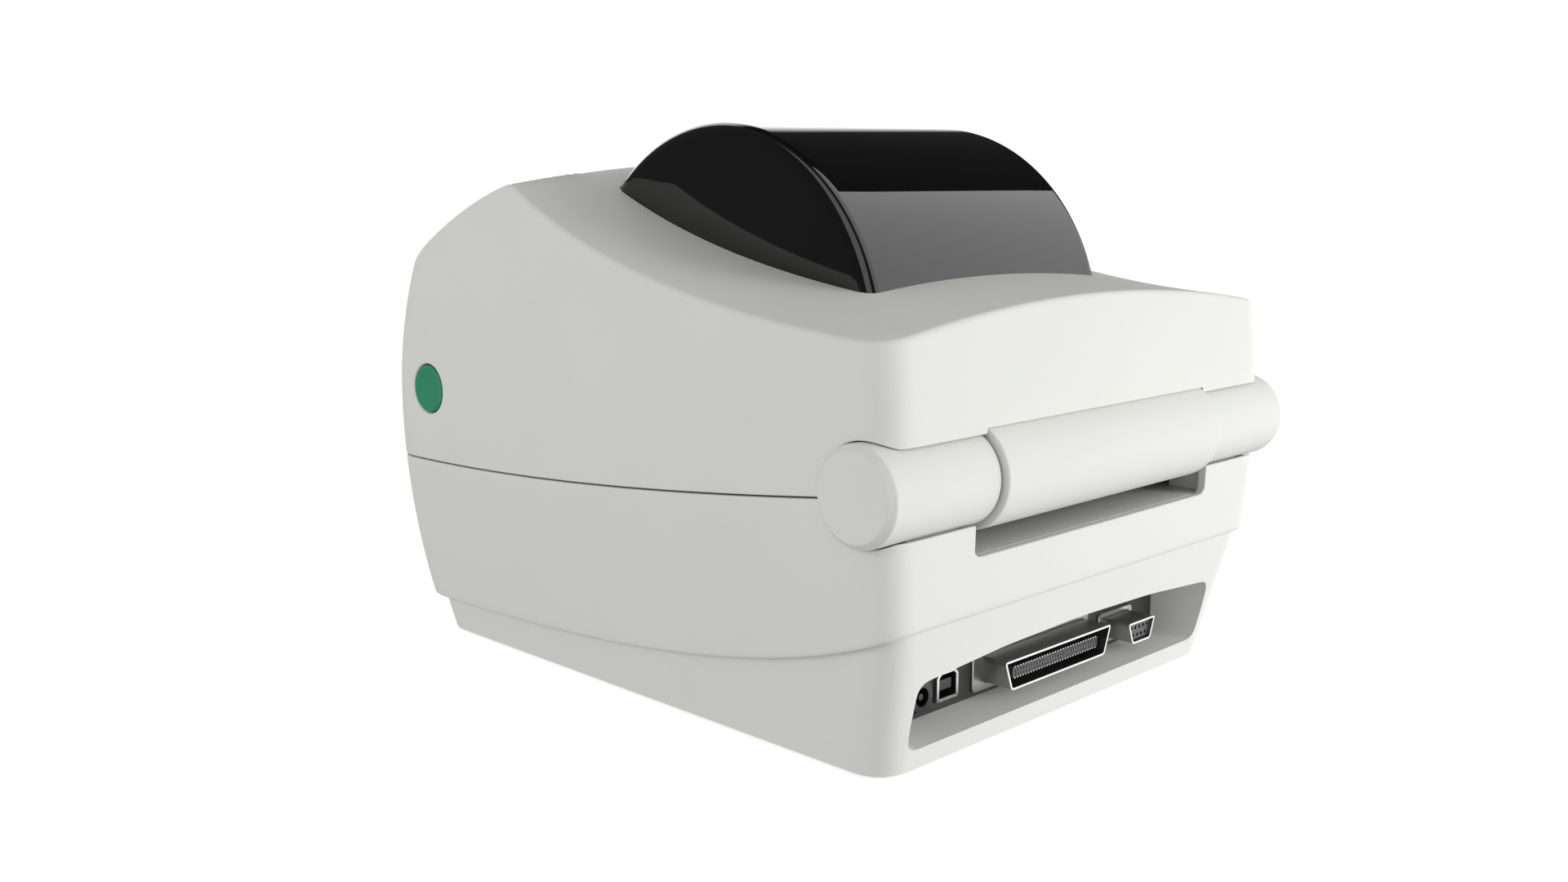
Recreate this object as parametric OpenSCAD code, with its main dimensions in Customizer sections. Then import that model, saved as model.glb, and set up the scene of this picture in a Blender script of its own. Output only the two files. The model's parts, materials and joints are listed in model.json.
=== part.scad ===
// Desktop thermal label printer with a clamshell cover. The front faces -Y.
// The origin is the centre of the footprint on the surface that the rubber feet stand on. Millimetres, +Z up.

/* [Body] */
// Width over the side walls at their widest
body_w = 191; // [180:1:235]
// Distance from the origin to the front wall at its furthest
body_front = 119.5; // [115:1:145]
// Distance from the origin to the rear wall at its furthest
body_rear = 112.5; // [111:0.5:116]
// Height at which the walls reach furthest out
widest_z = 84; // [80:1:90]
// Wall thickness of the outer shells
wall = 2.5; // [1.8:0.1:3.2]
// Height of the parting line at the front
parting_front_z = 64; // [62:0.5:66]
// Gap that shows along the parting line between cover and case
parting_gap = 0.7; // [0.4:0.1:1.2]

/* [Cover top] */
// Height of the ridge on the centre line
ridge_z = 165.4; // [158:0.5:172]
// Place of the ridge, from the origin
ridge_y = -51; // [-56:1:-46]
// Height of the rear edge on the centre line
rear_top_z = 127.4; // [124:0.5:131]
// Radius of the arch across the top
crown_r = 570; // [450:10:900]

/* [Roll window] */
// Outer radius of the round window
window_r = 67; // [65:0.5:70]
// Half its width
window_half = 56; // [52:0.5:58]
// Radius of its rounded rims
window_rim = 4; // [2:0.5:6]
// Place of its axis from the origin
window_y = 6.7; // [4:0.5:9]
// Height of its axis
window_z = 109.6; // [107:0.5:112]

/* [Hinge] */
// Place of the hinge axis from the origin
hinge_y = 104; // [103:0.5:105]
// Height of the hinge axis
hinge_z = 81.4; // [80:0.2:83]
// Radius of the fixed knuckles at both ends
knuckle_r = 13.66; // [12:0.1:14.2]
// Radius of the moving sleeve between them
sleeve_r = 15.5; // [14:0.1:15.8]
// Half the sleeve's length
sleeve_half = 55; // [48:0.5:56]
// How far the knuckles stand out past the side walls
knuckle_proud = 3.9; // [2:0.1:6]
// Radius of the hollow hinge pins
hinge_pin_r = 5; // [4.2:0.1:6]
// Radial running clearance of shafts and pins in their holes
run_fit = 0.05; // [0.02:0.01:0.1]

/* [Media path] */
// Radius of the trough that the label roll turns in
trough_r = 66.5; // [65:0.5:67.5]
// Half the inside width of the roll bay
bay_half = 59.5; // [59.5:0.5:64]
// Height of the deck that the labels slide over
deck_z = 60.2; // [59.5:0.1:60.6]
// Radius of the rubber platen roller
platen_r = 7; // [6:0.1:7.4]
// Half the width of paper that it feeds
paper_half = 56; // [50:0.5:57]
// Place of the platen's axis from the origin
platen_y = -100; // [-101:0.5:-99]
// Height of the platen's axis
platen_z = 58; // [57:0.2:58.4]
// Radius of the platen shaft
shaft_r = 3; // [2.5:0.1:3.6]
// How far each media guide slides in from its widest place
guide_travel = 44; // [20:1:45]
// Radius of the hub that carries the roll's core
hub_r = 12; // [9:0.5:12.5]

/* [Gears] */
// Module of the platen drive gears
drive_module = 0.8; // [0.8:0.1:0.8]
// Teeth on the platen gear
platen_teeth = 28; // [28:1:28]
// Teeth on the idler gear
idler_teeth = 36; // [36:1:37]
// Teeth on the motor pinion
motor_teeth = 12; // [12:1:12]
// Module of the media guides' racks
rack_module = 1; // [0.8:0.1:1.1]
// Teeth on the pinion between the racks
guide_teeth = 16; // [14:2:16]

/* [Buttons] */
// Radius of the round release buttons on both sides
release_r = 8.1; // [6:0.1:9]
// Place of the release buttons from the origin
release_y = -94.6; // [-97:0.2:-92]
// Height of the release buttons
release_z = 89.1; // [87:0.2:92]
// How far a release button is pushed in
release_travel = 3; // [2:0.5:3.5]
// Radius of the feed button
feed_r = 7; // [5:0.5:8]
// How far the feed button is pushed in
feed_travel = 1.5; // [0.8:0.1:1.8]

/* [Connectors] */
// Half the width of the recess for the connectors, at its mouth
recess_half = 75; // [72:0.5:77]
// Place of the connector panel's outer face from the origin
panel_y = 88; // [87:0.5:89]
// Length of the parallel and serial shells in front of the panel
port_reach = 11; // [8:0.5:12]

/* [Hidden] */
$fn = 64;

// Small clearances
seat_gap = 0.15;
body_gap = 0.3;
knuckle_gap = 0.6;

// Outer form of the walls: arcs that bow inwards above and below the widest height
side_bow_low = 336;
side_bow_high = 560;
front_bow_low = 560;
front_bow_high = 135;
rear_bow_low = 600;
rear_bow_high = 280;
rear_rim_z = 69.2;
slot_corner_r = 3;
corner_front = 13;
corner_rear = 11;
corner_steps = 5;

// Bottom case
plinth_low_z = 0.8;
plinth_half_w = body_w / 2 - 12.5;
plinth_rear = body_rear - 12;
plinth_front = body_front - 10.3;
plinth_side_lean = 0.176;
plinth_rear_lean = 0.216;
plinth_front_lean = 0.23;
floor_top_z = 3.3;
foot_r = 6;
foot_x = body_w / 2 - 25.5;
foot_y = [-90, 72];

// Screw columns that join the bottom case to the lower case
column_x = body_w / 2 - 17.5;
column_y = [-58, 58];
column_r = 4;
column_split_z = 24;
column_top_z = deck_z - 2.5;
case_screw_r = 1.5;
case_screw_end_z = 40;

// Deck and tray
deck_t = 2.5;
deck_low_z = deck_z - deck_t;
roll_z = 106;
trough_wall = 2.5;
bay_wall = 2.5;
bay_wall_top = 64;
cheek_in = bay_half + 2;
cheek_out = cheek_in + 3.5;
platen_cut_y = platen_y + 11;
gear_cut_y = platen_y + 14;

// Drive train
motor_y = -68;
motor_z = 28;
motor_size = 35;
motor_len = 22;
bracket_x = -(cheek_out + body_gap);
bracket_t = 1.5;
gear_x = bracket_x - bracket_t - 1.7;
gear_t = 4;
idler_pin_r = 1.5;
motor_pin_r = 1.5;
backlash = 0.14;
pressure = 20;

// Racks and guides
pinion_r = rack_module * guide_teeth / 2;
rack_low_z = 32.5;
rack_top_z = 36.2;
rack_back = pinion_r + 6;
rack_pin_r = 2;
rack_cover_z = [29.7, 32.2];
arm_in = bay_half - 3.5;
arm_t = 3;
arm_low_z = 42.5;
foot_near = pinion_r - 0.3;
foot_far = pinion_r + 5;
hub_pin_r = 2.5;
hub_len = 5.6;

// Cover frame
frame_z = 80;
frame_t = 2.5;
rail_in = bay_half + 3;
rail_out = rail_in + 4.5;
beam_y = [-112, -76];
crossbar_y = [76, 88.2];
tab_y = [-66, 68];
tab_x = body_w / 2 - 8.5;
beam_half = body_w / 2 - 15;

// Release latches
button_back = 7.5;
stem_r = 4;
bracket_in = beam_half - 2.5;
hook_in = body_w / 2 - 11;
hook_t = 3;
nose_top = deck_low_z - body_gap;
strike_in = body_w / 2 - 6.2;
latch_y = [release_y - 10, release_y + 9];

// Print head
strip_low_z = platen_z + platen_r + body_gap;
strip_t = 2.2;
head_top_z = strip_low_z + strip_t + 4.5;
head_travel = 1;
head_pin_x = 50;
head_spring_x = 34;
head_pin_r = 2;

// Connector places on the panel
board_top_z = 10.2;
board_t = 1.6;
usb_x = 41;
usb_z = 15.2;
jack_x = 52.5;
jack_z = 14.2;
rocker_x = 64;
rocker_z = 16.5;
parallel_x = -1;
parallel_z = 16;
serial_x = -47;
serial_z = 14.6;
panel_t = 2;
flange_t = 1;

// Feed button on the front slope
feed_x = 62;
feed_t = 0.3;
board_drop = 9;
board_posts = [[-18.5, -6], [-9.5, 6]];

function unit(v) = v / norm(v);
function bow(d, r) = r - sqrt(r * r - d * d);
function bend(a, b, c, t) = (1 - t) * (1 - t) * a + 2 * t * (1 - t) * b + t * t * c;
function corner(a, p, b, r, n) =
    [for (i = [0:n]) bend(p + r * unit(a - p), p, p + r * unit(b - p), i / n)];
function soft(pts, r, n = 4) =
    let (m = len(pts))
    [for (i = [0:m - 1])
        each corner(pts[(i + m - 1) % m], pts[i], pts[(i + 1) % m], is_list(r) ? r[i] : r, n)];

function half_w(z) = body_w / 2 - bow(z - widest_z, z < widest_z ? side_bow_low : side_bow_high);
function front_y(z) = bow(z - widest_z, z < widest_z ? front_bow_low : front_bow_high) - body_front;
function rear_y(z) = body_rear - bow(z - widest_z, z < widest_z ? rear_bow_low : rear_bow_high);
function ring(w, f, b, inset) =
    soft([[inset - w, f + inset], [w - inset, f + inset], [w - inset, b - inset], [inset - w, b - inset]],
        [corner_front - inset, corner_front - inset, corner_rear - inset, corner_rear - inset], corner_steps);
function body_ring(z, inset) = ring(half_w(z), front_y(z), rear_y(z), inset);
function plinth_w(z) = plinth_half_w + plinth_side_lean * z;
function plinth_ring(z, inset) =
    ring(plinth_w(z), -plinth_front - plinth_front_lean * z, plinth_rear + plinth_rear_lean * z, inset);
function at_height(pts, z) = [for (p = pts) [p.x, p.y, z]];

// Side outlines, as quadratic curves in (y, z)
function parting(t) = bend([-110, parting_front_z], [-20, parting_front_z], [96, parting_front_z + 15.6], t);
function band_low(t) = bend([-112, 13], [41.6, 13], [111.4, 44.4], t);
function front_slope(t) =
    bend([-body_front + 6.8, ridge_z - 30.5], [ridge_y - 31.6, ridge_z - 7.7], [ridge_y, ridge_z], t);
function back_slope(t) =
    bend([ridge_y, ridge_z], [ridge_y + 59.7, ridge_z - 32.8], [body_rear - 0.5, rear_top_z], t);
parting_line = concat([[-160, parting_front_z]], [for (i = [0:10]) parting(i / 10)], [[160, parting(1).y]]);
band_line = concat([[-160, 13]], [for (i = [0:12]) band_low(i / 12)], [[160, 44.4]]);
top_line = concat([[-160, ridge_z - 66]], [for (i = [0:7]) front_slope(i / 8)],
    [for (i = [0:13]) back_slope(i / 13)], [[160, rear_top_z - 1.5]]);

module along_x(w) {
    rotate([90, 0, 90]) linear_extrude(w, center = true) children();
}

module rod_x(r, x0, x1, y, z) {
    translate([x0, y, z]) rotate([0, 90, 0]) cylinder(r = r, h = x1 - x0);
}

module rod_y(r, y0, y1, x, z) {
    translate([x, y0, z]) rotate([-90, 0, 0]) cylinder(r = r, h = y1 - y0);
}

module block(x, y, z) {
    translate([x[0], y[0], z[0]]) cube([x[1] - x[0], y[1] - y[0], z[1] - z[0]]);
}

module both_sides() {
    children();
    mirror([1, 0, 0]) children();
}

// Region below a side outline that is moved down by drop
module below(line, drop) {
    along_x(2 * body_w) polygon(concat([for (p = line) [p.x, p.y - drop]], [[160, -80], [-160, -80]]));
}

// Convex slice between two rings of the same number of points
module slice(low, high) {
    n = len(low);
    sides = [for (i = [0:n - 1]) [i, i + n, (i + 1) % n + n, (i + 1) % n]];
    ends = [[for (i = [0:n - 1]) i], [for (i = [n - 1:-1:0]) n + i]];
    hull() polyhedron(concat(low, high), concat(ends, sides));
}

module body_form(levels, inset) {
    for (i = [0:len(levels) - 2])
        slice(at_height(body_ring(levels[i], inset), levels[i]),
            at_height(body_ring(levels[i + 1], inset), levels[i + 1]));
}

module plinth_form(levels, inset) {
    for (i = [0:len(levels) - 2])
        slice(at_height(plinth_ring(levels[i], inset), levels[i]),
            at_height(plinth_ring(levels[i + 1], inset), levels[i + 1]));
}

// Solid below the arched top surface, which is the top line swept along the crown
module below_top(drop) {
    ny = len(top_line);
    nx = 15;
    reach = body_w / 2 + 5;
    xs = [for (i = [0:nx - 1]) -reach + 2 * reach * i / (nx - 1)];
    top = [for (x = xs) for (p = top_line) [x, p.x, p.y - bow(x, crown_r) - drop]];
    bottom = [for (x = xs) for (p = top_line) [x, p.x, 30]];
    n = nx * ny;
    a = [for (i = [0:nx - 2]) for (j = [0:ny - 2]) i * ny + j];
    tops = [for (k = a) each [[k, k + 1, k + ny + 1], [k, k + ny + 1, k + ny]]];
    bottoms = [for (k = a) [n + k, n + k + ny, n + k + ny + 1, n + k + 1]];
    fronts = [for (i = [0:nx - 2]) [i * ny, (i + 1) * ny, n + (i + 1) * ny, n + i * ny]];
    rears = [for (i = [0:nx - 2]) let (k = i * ny + ny - 1) [k + ny, k, n + k, n + k + ny]];
    lefts = [for (j = [0:ny - 2]) [j + 1, j, n + j, n + j + 1]];
    rights = [for (j = [0:ny - 2]) let (k = (nx - 1) * ny + j) [k, k + 1, n + k + 1, n + k]];
    polyhedron(concat(top, bottom), concat(tops, bottoms, fronts, rears, lefts, rights));
}

// Drum with rounded rims, lying along X on the window's axis
module drum(r, half, rim) {
    translate([0, window_y, window_z]) rotate([0, 90, 0]) rotate_extrude($fn = 96) {
        translate([0, -half]) square([r - rim, 2 * half]);
        translate([0, rim - half]) square([r, 2 * (half - rim)]);
        for (s = [-1, 1]) translate([r - rim, s * (half - rim)]) circle(r = rim, $fn = 32);
    }
}

// Rounded D outline, wide at the top, centred on the origin
function d_shape(w, h, r) =
    let (narrow = w / 2 - 0.36 * h)
    soft([[-narrow, -h / 2], [narrow, -h / 2], [w / 2, h / 2], [-w / 2, h / 2]], r, 3);

module plate_y(pts, y0, y1, x, z) {
    translate([x, y1, z]) rotate([90, 0, 0]) linear_extrude(y1 - y0) polygon(pts);
}

// Tube swept along a list of points with flat ends
function path_dir(p, i) = unit(p[min(i + 1, len(p) - 1)] - p[max(i - 1, 0)]);
module swept(p, r, sides, up) {
    m = len(p);
    rings = [for (i = [0:m - 1]) let (d = path_dir(p, i), u = unit(cross(d, up)), v = cross(u, d))
        for (k = [0:sides - 1]) p[i] + r * (cos(360 * k / sides) * u + sin(360 * k / sides) * v)];
    skin = [for (i = [0:m - 2]) for (k = [0:sides - 1])
        let (a = i * sides + k, b = i * sides + (k + 1) % sides)
        each [[a, b, b + sides], [a, b + sides, a + sides]]];
    caps = [[for (k = [sides - 1:-1:0]) k], [for (k = [0:sides - 1]) (m - 1) * sides + k]];
    polyhedron(rings, concat(skin, caps));
}

module coil(r, wire, len, turns) {
    steps = 12 * turns;
    swept([for (i = [0:steps]) [r * cos(30 * i), r * sin(30 * i), wire + (len - 2 * wire) * i / steps]],
        wire, 6, [0, 0, 1]);
}

// Gear outline with involute flanks, tooth 0 on the first axis
function inv(a) = tan(a) * 180 / PI - a;
function tooth_half(n, m, r) =
    let (pitch = m * n / 2, base = pitch * cos(pressure))
    90 / n - backlash / pitch * 90 / PI + inv(pressure) - (r > base ? inv(acos(base / r)) : 0);
function gear_outline(n, m) =
    let (pitch = m * n / 2, base = pitch * cos(pressure), tip = pitch + 0.8 * m, root = pitch - 1.2 * m,
        low = max(base, root + 0.01), radii = [root, low, (low + tip) / 2, tip])
    [for (k = [0:n - 1]) each concat(
        [for (r = radii) let (a = 360 * k / n - tooth_half(n, m, r)) [r * cos(a), r * sin(a)]],
        [for (j = [3:-1:0]) let (r = radii[j], a = 360 * k / n + tooth_half(n, m, r))
            [r * cos(a), r * sin(a)]])];

// Spur gear with its axis along X, turned by phase
module spur_x(n, m, y, z, phase, bore) {
    translate([gear_x - gear_t / 2, y, z]) along_x(gear_t) difference() {
        rotate(phase) polygon(gear_outline(n, m));
        circle(r = bore);
    }
}

// The idler sits where its distances to the motor pinion and the platen gear are both right
motor_to_idler = drive_module * (motor_teeth + idler_teeth) / 2;
idler_to_platen = drive_module * (idler_teeth + platen_teeth) / 2;
span = [platen_y - motor_y, platen_z - motor_z];
along = (motor_to_idler ^ 2 - idler_to_platen ^ 2 + norm(span) ^ 2) / (2 * norm(span));
aside = sqrt(motor_to_idler ^ 2 - along ^ 2);
idler = [motor_y, motor_z] + along * unit(span) + aside * unit([-span.y, span.x]);
platen_phase = atan2(idler.y - platen_z, idler.x - platen_y);
idler_phase = platen_phase + 180 - 180 / idler_teeth;
to_motor = atan2(motor_z - idler.y, motor_y - idler.x);
idler_turn = to_motor - idler_phase;
idler_lag = idler_turn - 360 / idler_teeth * floor(idler_turn * idler_teeth / 360);
motor_phase = to_motor + 180 + idler_lag * idler_teeth / motor_teeth - 180 / motor_teeth;

// ---------------------------------------------------------------- shells

module lower_case() {
    levels = [10, 18, 26, 35, 44, 54, 64, 74, 84];
    color("gainsboro") {
        difference() {
            intersection() {
                body_form(levels, 0);
                below(parting_line, parting_gap / 2);
            }
            body_form(levels, wall);
            below(band_line, 0);
            block([-body_w, body_w], [hinge_y, 160], [rear_rim_z, 120]);
            rod_x(knuckle_r + knuckle_gap, -body_w, body_w, hinge_y, hinge_z);
            translate([0, 0, deck_z]) fanfold_cut();
            block([-paper_half - 2, paper_half + 2], [-160, -body_front + 12], [deck_z + 1, 100]);
        }
        both_sides() for (y = column_y) difference() {
            hull() {
                translate([column_x, y, column_split_z])
                    cylinder(r = column_r, h = column_top_z - column_split_z, $fn = 24);
                block([half_w(40) - wall - 1, half_w(40) - wall], [y - 2.5, y + 2.5], [38, column_top_z]);
            }
            translate([column_x, y, 0]) cylinder(r = case_screw_r + 0.1, h = case_screw_end_z + 2, $fn = 32);
        }
    }
}

// Slot for fan-fold paper, with rounded lower corners
module fanfold_cut() {
    w = bay_half;
    rotate([90, 0, 0]) translate([0, 0, -160]) linear_extrude(80)
        polygon(soft([[-w, 0], [w, 0], [w, 40], [-w, 40]], slot_corner_r));
}

function recess_outline(half, low, side_top, mid_top, r) =
    soft([[-half, low], [half, low], [half, side_top], [half / 2, side_top + 0.75 * (mid_top - side_top)],
        [0, mid_top], [-half / 2, side_top + 0.75 * (mid_top - side_top)], [-half, side_top]],
        [r, r, r, 5, 5, 5, r]);

// Tapered hollow from the mouth in the rear wall to the connector panel
module recess(grow, rear) {
    mouth = recess_outline(recess_half + grow, 6.8 - grow, 27.5 + grow, 31.2 + grow, 4.5);
    back = recess_outline(recess_half - 5 + grow, 8 - grow, 25.5 + grow, 28.5 + grow, 4.5);
    mouth_y = plinth_rear + 3.4;
    slice([for (p = back) [p.x, panel_y, p.y]], [for (p = mouth) [p.x, mouth_y, p.y]]);
    slice([for (p = mouth) [p.x, mouth_y, p.y]], [for (p = mouth) [p.x, rear, p.y]]);
}

module bottom_case() {
    levels = [plinth_low_z, 12, 22, 32, 44.4];
    inner_levels = [floor_top_z, 12, 22, 32, 46];
    color("gainsboro") difference() {
        union() {
            difference() {
                intersection() {
                    plinth_form(levels, 0);
                    below(band_line, seat_gap);
                }
                plinth_form(inner_levels, wall);
            }
            intersection() {
                recess(2, 130);
                plinth_form(levels, 0.2);
                below(band_line, 0.4);
            }
            both_sides() {
                for (y = column_y) translate([column_x, y, floor_top_z - 0.5])
                    cylinder(r = column_r, h = column_split_z - floor_top_z + 0.5 - seat_gap, $fn = 32);
            }
            for (p = board_holes) translate([p.x, p.y, floor_top_z - 0.5])
                cylinder(r = 3, h = board_top_z - board_t - floor_top_z + 0.5, $fn = 24);
        }
        recess(0, 140);
        both_sides() {
            for (y = column_y) translate([column_x, y, -1]) {
                cylinder(r = case_screw_r + 0.2, h = 60, $fn = 32);
                cylinder(r = 3.2, h = 6.2, $fn = 32);
            }
            for (y = foot_y) translate([foot_x, y, -1]) cylinder(r = foot_r + 0.1, h = 2.8, $fn = 32);
        }
        for (p = board_holes) translate([p.x, p.y, floor_top_z]) cylinder(r = 1.35, h = 20, $fn = 24);
    }
}

module rubber_feet() {
    color("dimgray") both_sides() for (y = foot_y) translate([foot_x, y, 0]) {
        cylinder(r1 = foot_r - 0.8, r2 = foot_r, h = 0.8);
        translate([0, 0, 0.8]) cylinder(r = foot_r, h = 1);
    }
}

module case_screws() {
    color("silver") both_sides() for (y = column_y) translate([column_x, y, 0]) {
        translate([0, 0, 2.7]) cylinder(r = 2.8, h = 2.5);
        translate([0, 0, 5.2]) cylinder(r = case_screw_r, h = case_screw_end_z - 5.2);
    }
}

module top_cover() {
    levels = [56, 66, 75, 84, 93, 102, 112, 122, 133, 145, 158, 172];
    color("gainsboro") {
        difference() {
            intersection() {
                body_form(levels, 0);
                below_top(0);
            }
            intersection() {
                body_form(levels, wall);
                below_top(wall * 1.15);
            }
            below(parting_line, -parting_gap / 2);
            rod_x(knuckle_r + knuckle_gap, -body_w, body_w, hinge_y, hinge_z);
            rod_x(sleeve_r + seat_gap, -sleeve_half - 0.3, sleeve_half + 0.3, hinge_y, hinge_z);
            block([-body_w, body_w], [hinge_y, 160], [40, 93.3]);
            block([-body_w, body_w], [hinge_y - 20, 160], [40, hinge_z - 2]);
            drum(window_r + 0.25, window_half + 0.25, window_rim);
            block([-paper_half - 2, paper_half + 2], [-160, -body_front + 12], [40, 70]);
            both_sides() rod_x(release_r + 0.3, body_w / 2 - 14, body_w, release_y, release_z);
            on_slope(feed_x) translate([0, 0, -20]) cylinder(r = feed_r + 0.3, h = 40);
            on_slope(feed_x - 15) translate([0, 0, -20]) cylinder(r = 2.1, h = 40);
        }
        both_sides() for (y = tab_y) difference() {
            block([tab_x - 4, half_w(frame_z + 8) - wall + 0.4], [y - 4, y + 4],
                [frame_z + frame_t, frame_z + 13]);
            translate([tab_x, y, 0]) cylinder(r = case_screw_r + 0.1, h = frame_z + 12, $fn = 32);
        }
        for (p = board_posts) on_slope(feed_x + p.x) translate([0, p.y, -board_drop])
            cylinder(r = 1.8, h = board_drop - 0.7, $fn = 24);
    }
}

// Frame with its third axis square to the front slope, at the feed button
slope_at = front_slope(feed_t);
slope_dir = front_slope(feed_t + 0.02) - front_slope(feed_t - 0.02);
slope_angle = atan2(slope_dir.y, slope_dir.x);
module on_slope(x) {
    translate([x, slope_at.x, slope_at.y - bow(feed_x, crown_r)]) rotate([slope_angle, 0, 0]) children();
}

module roll_window() {
    color([0.06, 0.06, 0.06]) difference() {
        drum(window_r, window_half, window_rim);
        drum(window_r - wall, window_half - wall, window_rim - wall + 0.5);
        below(top_line, 6.5);
    }
}

// ---------------------------------------------------------------- hinge

module hinge_end(side) {
    x_end = body_w / 2 + knuckle_proud;
    x_in = sleeve_half + 0.8;
    chamfer = 1.85;
    color("gainsboro") mirror([side < 0 ? 1 : 0, 0, 0]) difference() {
        union() {
            rod_x(knuckle_r, x_in, x_end - chamfer, hinge_y, hinge_z);
            translate([x_end - chamfer, hinge_y, hinge_z]) rotate([0, 90, 0])
                cylinder(r1 = knuckle_r, r2 = knuckle_r - chamfer, h = chamfer);
            block([63, 84], [hinge_y - 7, hinge_y + 5], [deck_z, hinge_z - 9]);
        }
        rod_x(hinge_pin_r, x_in - 1, x_in + 22, hinge_y, hinge_z);
        translate([72, hinge_y, deck_z - 1]) cylinder(r = 2.6, h = hinge_z - deck_z);
        for (x = [66, 81]) translate([x, hinge_y - 1, deck_z - 1]) cylinder(r = 1.25, h = 9);
    }
}

module hinge_end_left() {
    hinge_end(-1);
}

module hinge_end_right() {
    hinge_end(1);
}

module hinge_pins() {
    color("silver") both_sides() difference() {
        rod_x(hinge_pin_r, sleeve_half - 14, sleeve_half + 7, hinge_y, hinge_z);
        rod_x(hinge_pin_r - 2, sleeve_half - 15, sleeve_half + 8, hinge_y, hinge_z);
    }
}

module hinge_end_screws() {
    color("silver") both_sides() for (x = [66, 81]) translate([x, hinge_y - 1, deck_low_z - 1.6]) {
        cylinder(r = 2.4, h = 1.6);
        cylinder(r = 1.25, h = 9);
    }
}

module hinge_sleeve() {
    core_half = sleeve_half - 14.3;
    color("gainsboro") difference() {
        union() {
            rod_x(sleeve_r, -sleeve_half, sleeve_half, hinge_y, hinge_z);
            block([-50, 50], [crossbar_y[0] + 2, hinge_y - 12], [frame_z + frame_t, frame_z + frame_t + 2.5]);
        }
        rod_x(sleeve_r - 3, -core_half, core_half, hinge_y, hinge_z);
        rod_x(hinge_pin_r + run_fit, -sleeve_half - 1, sleeve_half + 1, hinge_y, hinge_z);
        block([28, 38], [hinge_y - 40, hinge_y], [hinge_z + 3, hinge_z + 10]);
        for (x = [-40, 0, 46]) translate([x, crossbar_y[0] + 6, frame_z - 5]) cylinder(r = 1.25, h = 20);
    }
}

// ---------------------------------------------------------------- chassis in the base

module media_tray() {
    color("gainsboro") difference() {
        union() {
            translate([0, 0, deck_low_z]) linear_extrude(deck_t) polygon(deck_outline());
            intersection() {
                rod_x(trough_r + trough_wall, -bay_half - bay_wall, bay_half + bay_wall, window_y, roll_z);
                block([-bay_half - 5, bay_half + 5], [-100, 100], [30, deck_z]);
            }
            both_sides() block([bay_half, bay_half + bay_wall], [-60, 82], [deck_low_z, bay_wall_top]);
            both_sides() block([cheek_in, cheek_out], [platen_y - 12, gear_cut_y + 4], [46, bay_wall_top]);
            block([-cheek_in, cheek_in], [platen_y - 12, platen_y - 9.5], [47, 54]);
            for (x = [-48, 48]) for (y = [-18.5, 18.5]) translate([x, window_y + y, rack_cover_z[1]])
                cylinder(r = 3, h = 8.8);
            translate([0, window_y, rack_top_z + 0.6]) cylinder(r = 5, h = 2.4);
        }
        rod_x(trough_r, -bay_half, bay_half, window_y, roll_z);
        both_sides() rod_x(5, cheek_in - 1, cheek_out + 1, platen_y, platen_z);
        mirror([1, 0, 0]) guide_slot(foot_near, foot_far);
        guide_slot(-foot_far, -foot_near);
        block([-6.2, 6.2], [-84.2, -71.8], [50, 70]);
        translate([72, hinge_y, 50]) cylinder(r = 2.6, h = 20);
        both_sides() for (x = [66, 81]) translate([x, hinge_y - 1, 50]) cylinder(r = 1.25, h = 20);
        translate([0, window_y, 30]) cylinder(r = rack_pin_r + run_fit, h = 9);
        both_sides() block([hook_in - release_travel - 1.2, body_w], latch_y, [50, 62]);
    }
}

function deck_outline() =
    let (w = half_w(deck_z) - wall - body_gap, f = front_y(deck_z) + wall + body_gap,
        b = rear_y(deck_z) - wall - body_gap, open_x = cheek_out + 12)
    [[-w + 8, b], [-w, b - 8], [-w, f + 12], [-w + 10, f], [-open_x, f], [-open_x, gear_cut_y],
        [-cheek_in, gear_cut_y], [-cheek_in, platen_cut_y], [cheek_in, platen_cut_y], [cheek_in, gear_cut_y],
        [open_x, gear_cut_y], [open_x, f], [w - 10, f], [w, f + 12], [w, b - 8], [w - 8, b]];

module guide_slot(y0, y1) {
    block([arm_in - guide_travel - 0.8, arm_in + arm_t + 0.4],
        [window_y + y0 - 0.4, window_y + y1 + 0.4], [30, 50]);
}

module rack_cover() {
    color("dimgray") difference() {
        block([-62, 62], [window_y - 22.5, window_y + 22.5], rack_cover_z);
        translate([0, window_y, 20]) cylinder(r = rack_pin_r + run_fit, h = 20);
    }
}

module latch_strikes() {
    color("silver") both_sides() block([strike_in, half_w(deck_z) - wall - body_gap],
        latch_y, [deck_low_z, deck_z + 2]);
}

module platen_bearings() {
    color("goldenrod") both_sides() difference() {
        union() {
            rod_x(5, cheek_in, cheek_out, platen_y, platen_z);
            rod_x(6, cheek_in - 1, cheek_in, platen_y, platen_z);
        }
        rod_x(shaft_r + run_fit, cheek_in - 2, cheek_out + 1, platen_y, platen_z);
    }
}

module tear_bar() {
    w = paper_half + 1.5;
    teeth = 58;
    pitch = 2 * w / teeth;
    color("silver") translate([0, platen_y - 12, 0]) rotate([90, 0, 0]) linear_extrude(1.2)
        polygon(concat([[w, 48], [-w, 48], [-w, 63.6]],
            [for (i = [0:teeth - 1]) each [[-w + (i + 0.5) * pitch, 64.5], [-w + (i + 1) * pitch, 63.6]]]));
}

module gap_sensor() {
    color("dimgray") difference() {
        block([-6, 6], [-84, -72], [54, deck_z]);
        translate([0, -78, 58]) cylinder(r = 1.6, h = 5);
    }
}

// ---------------------------------------------------------------- drive

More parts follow.
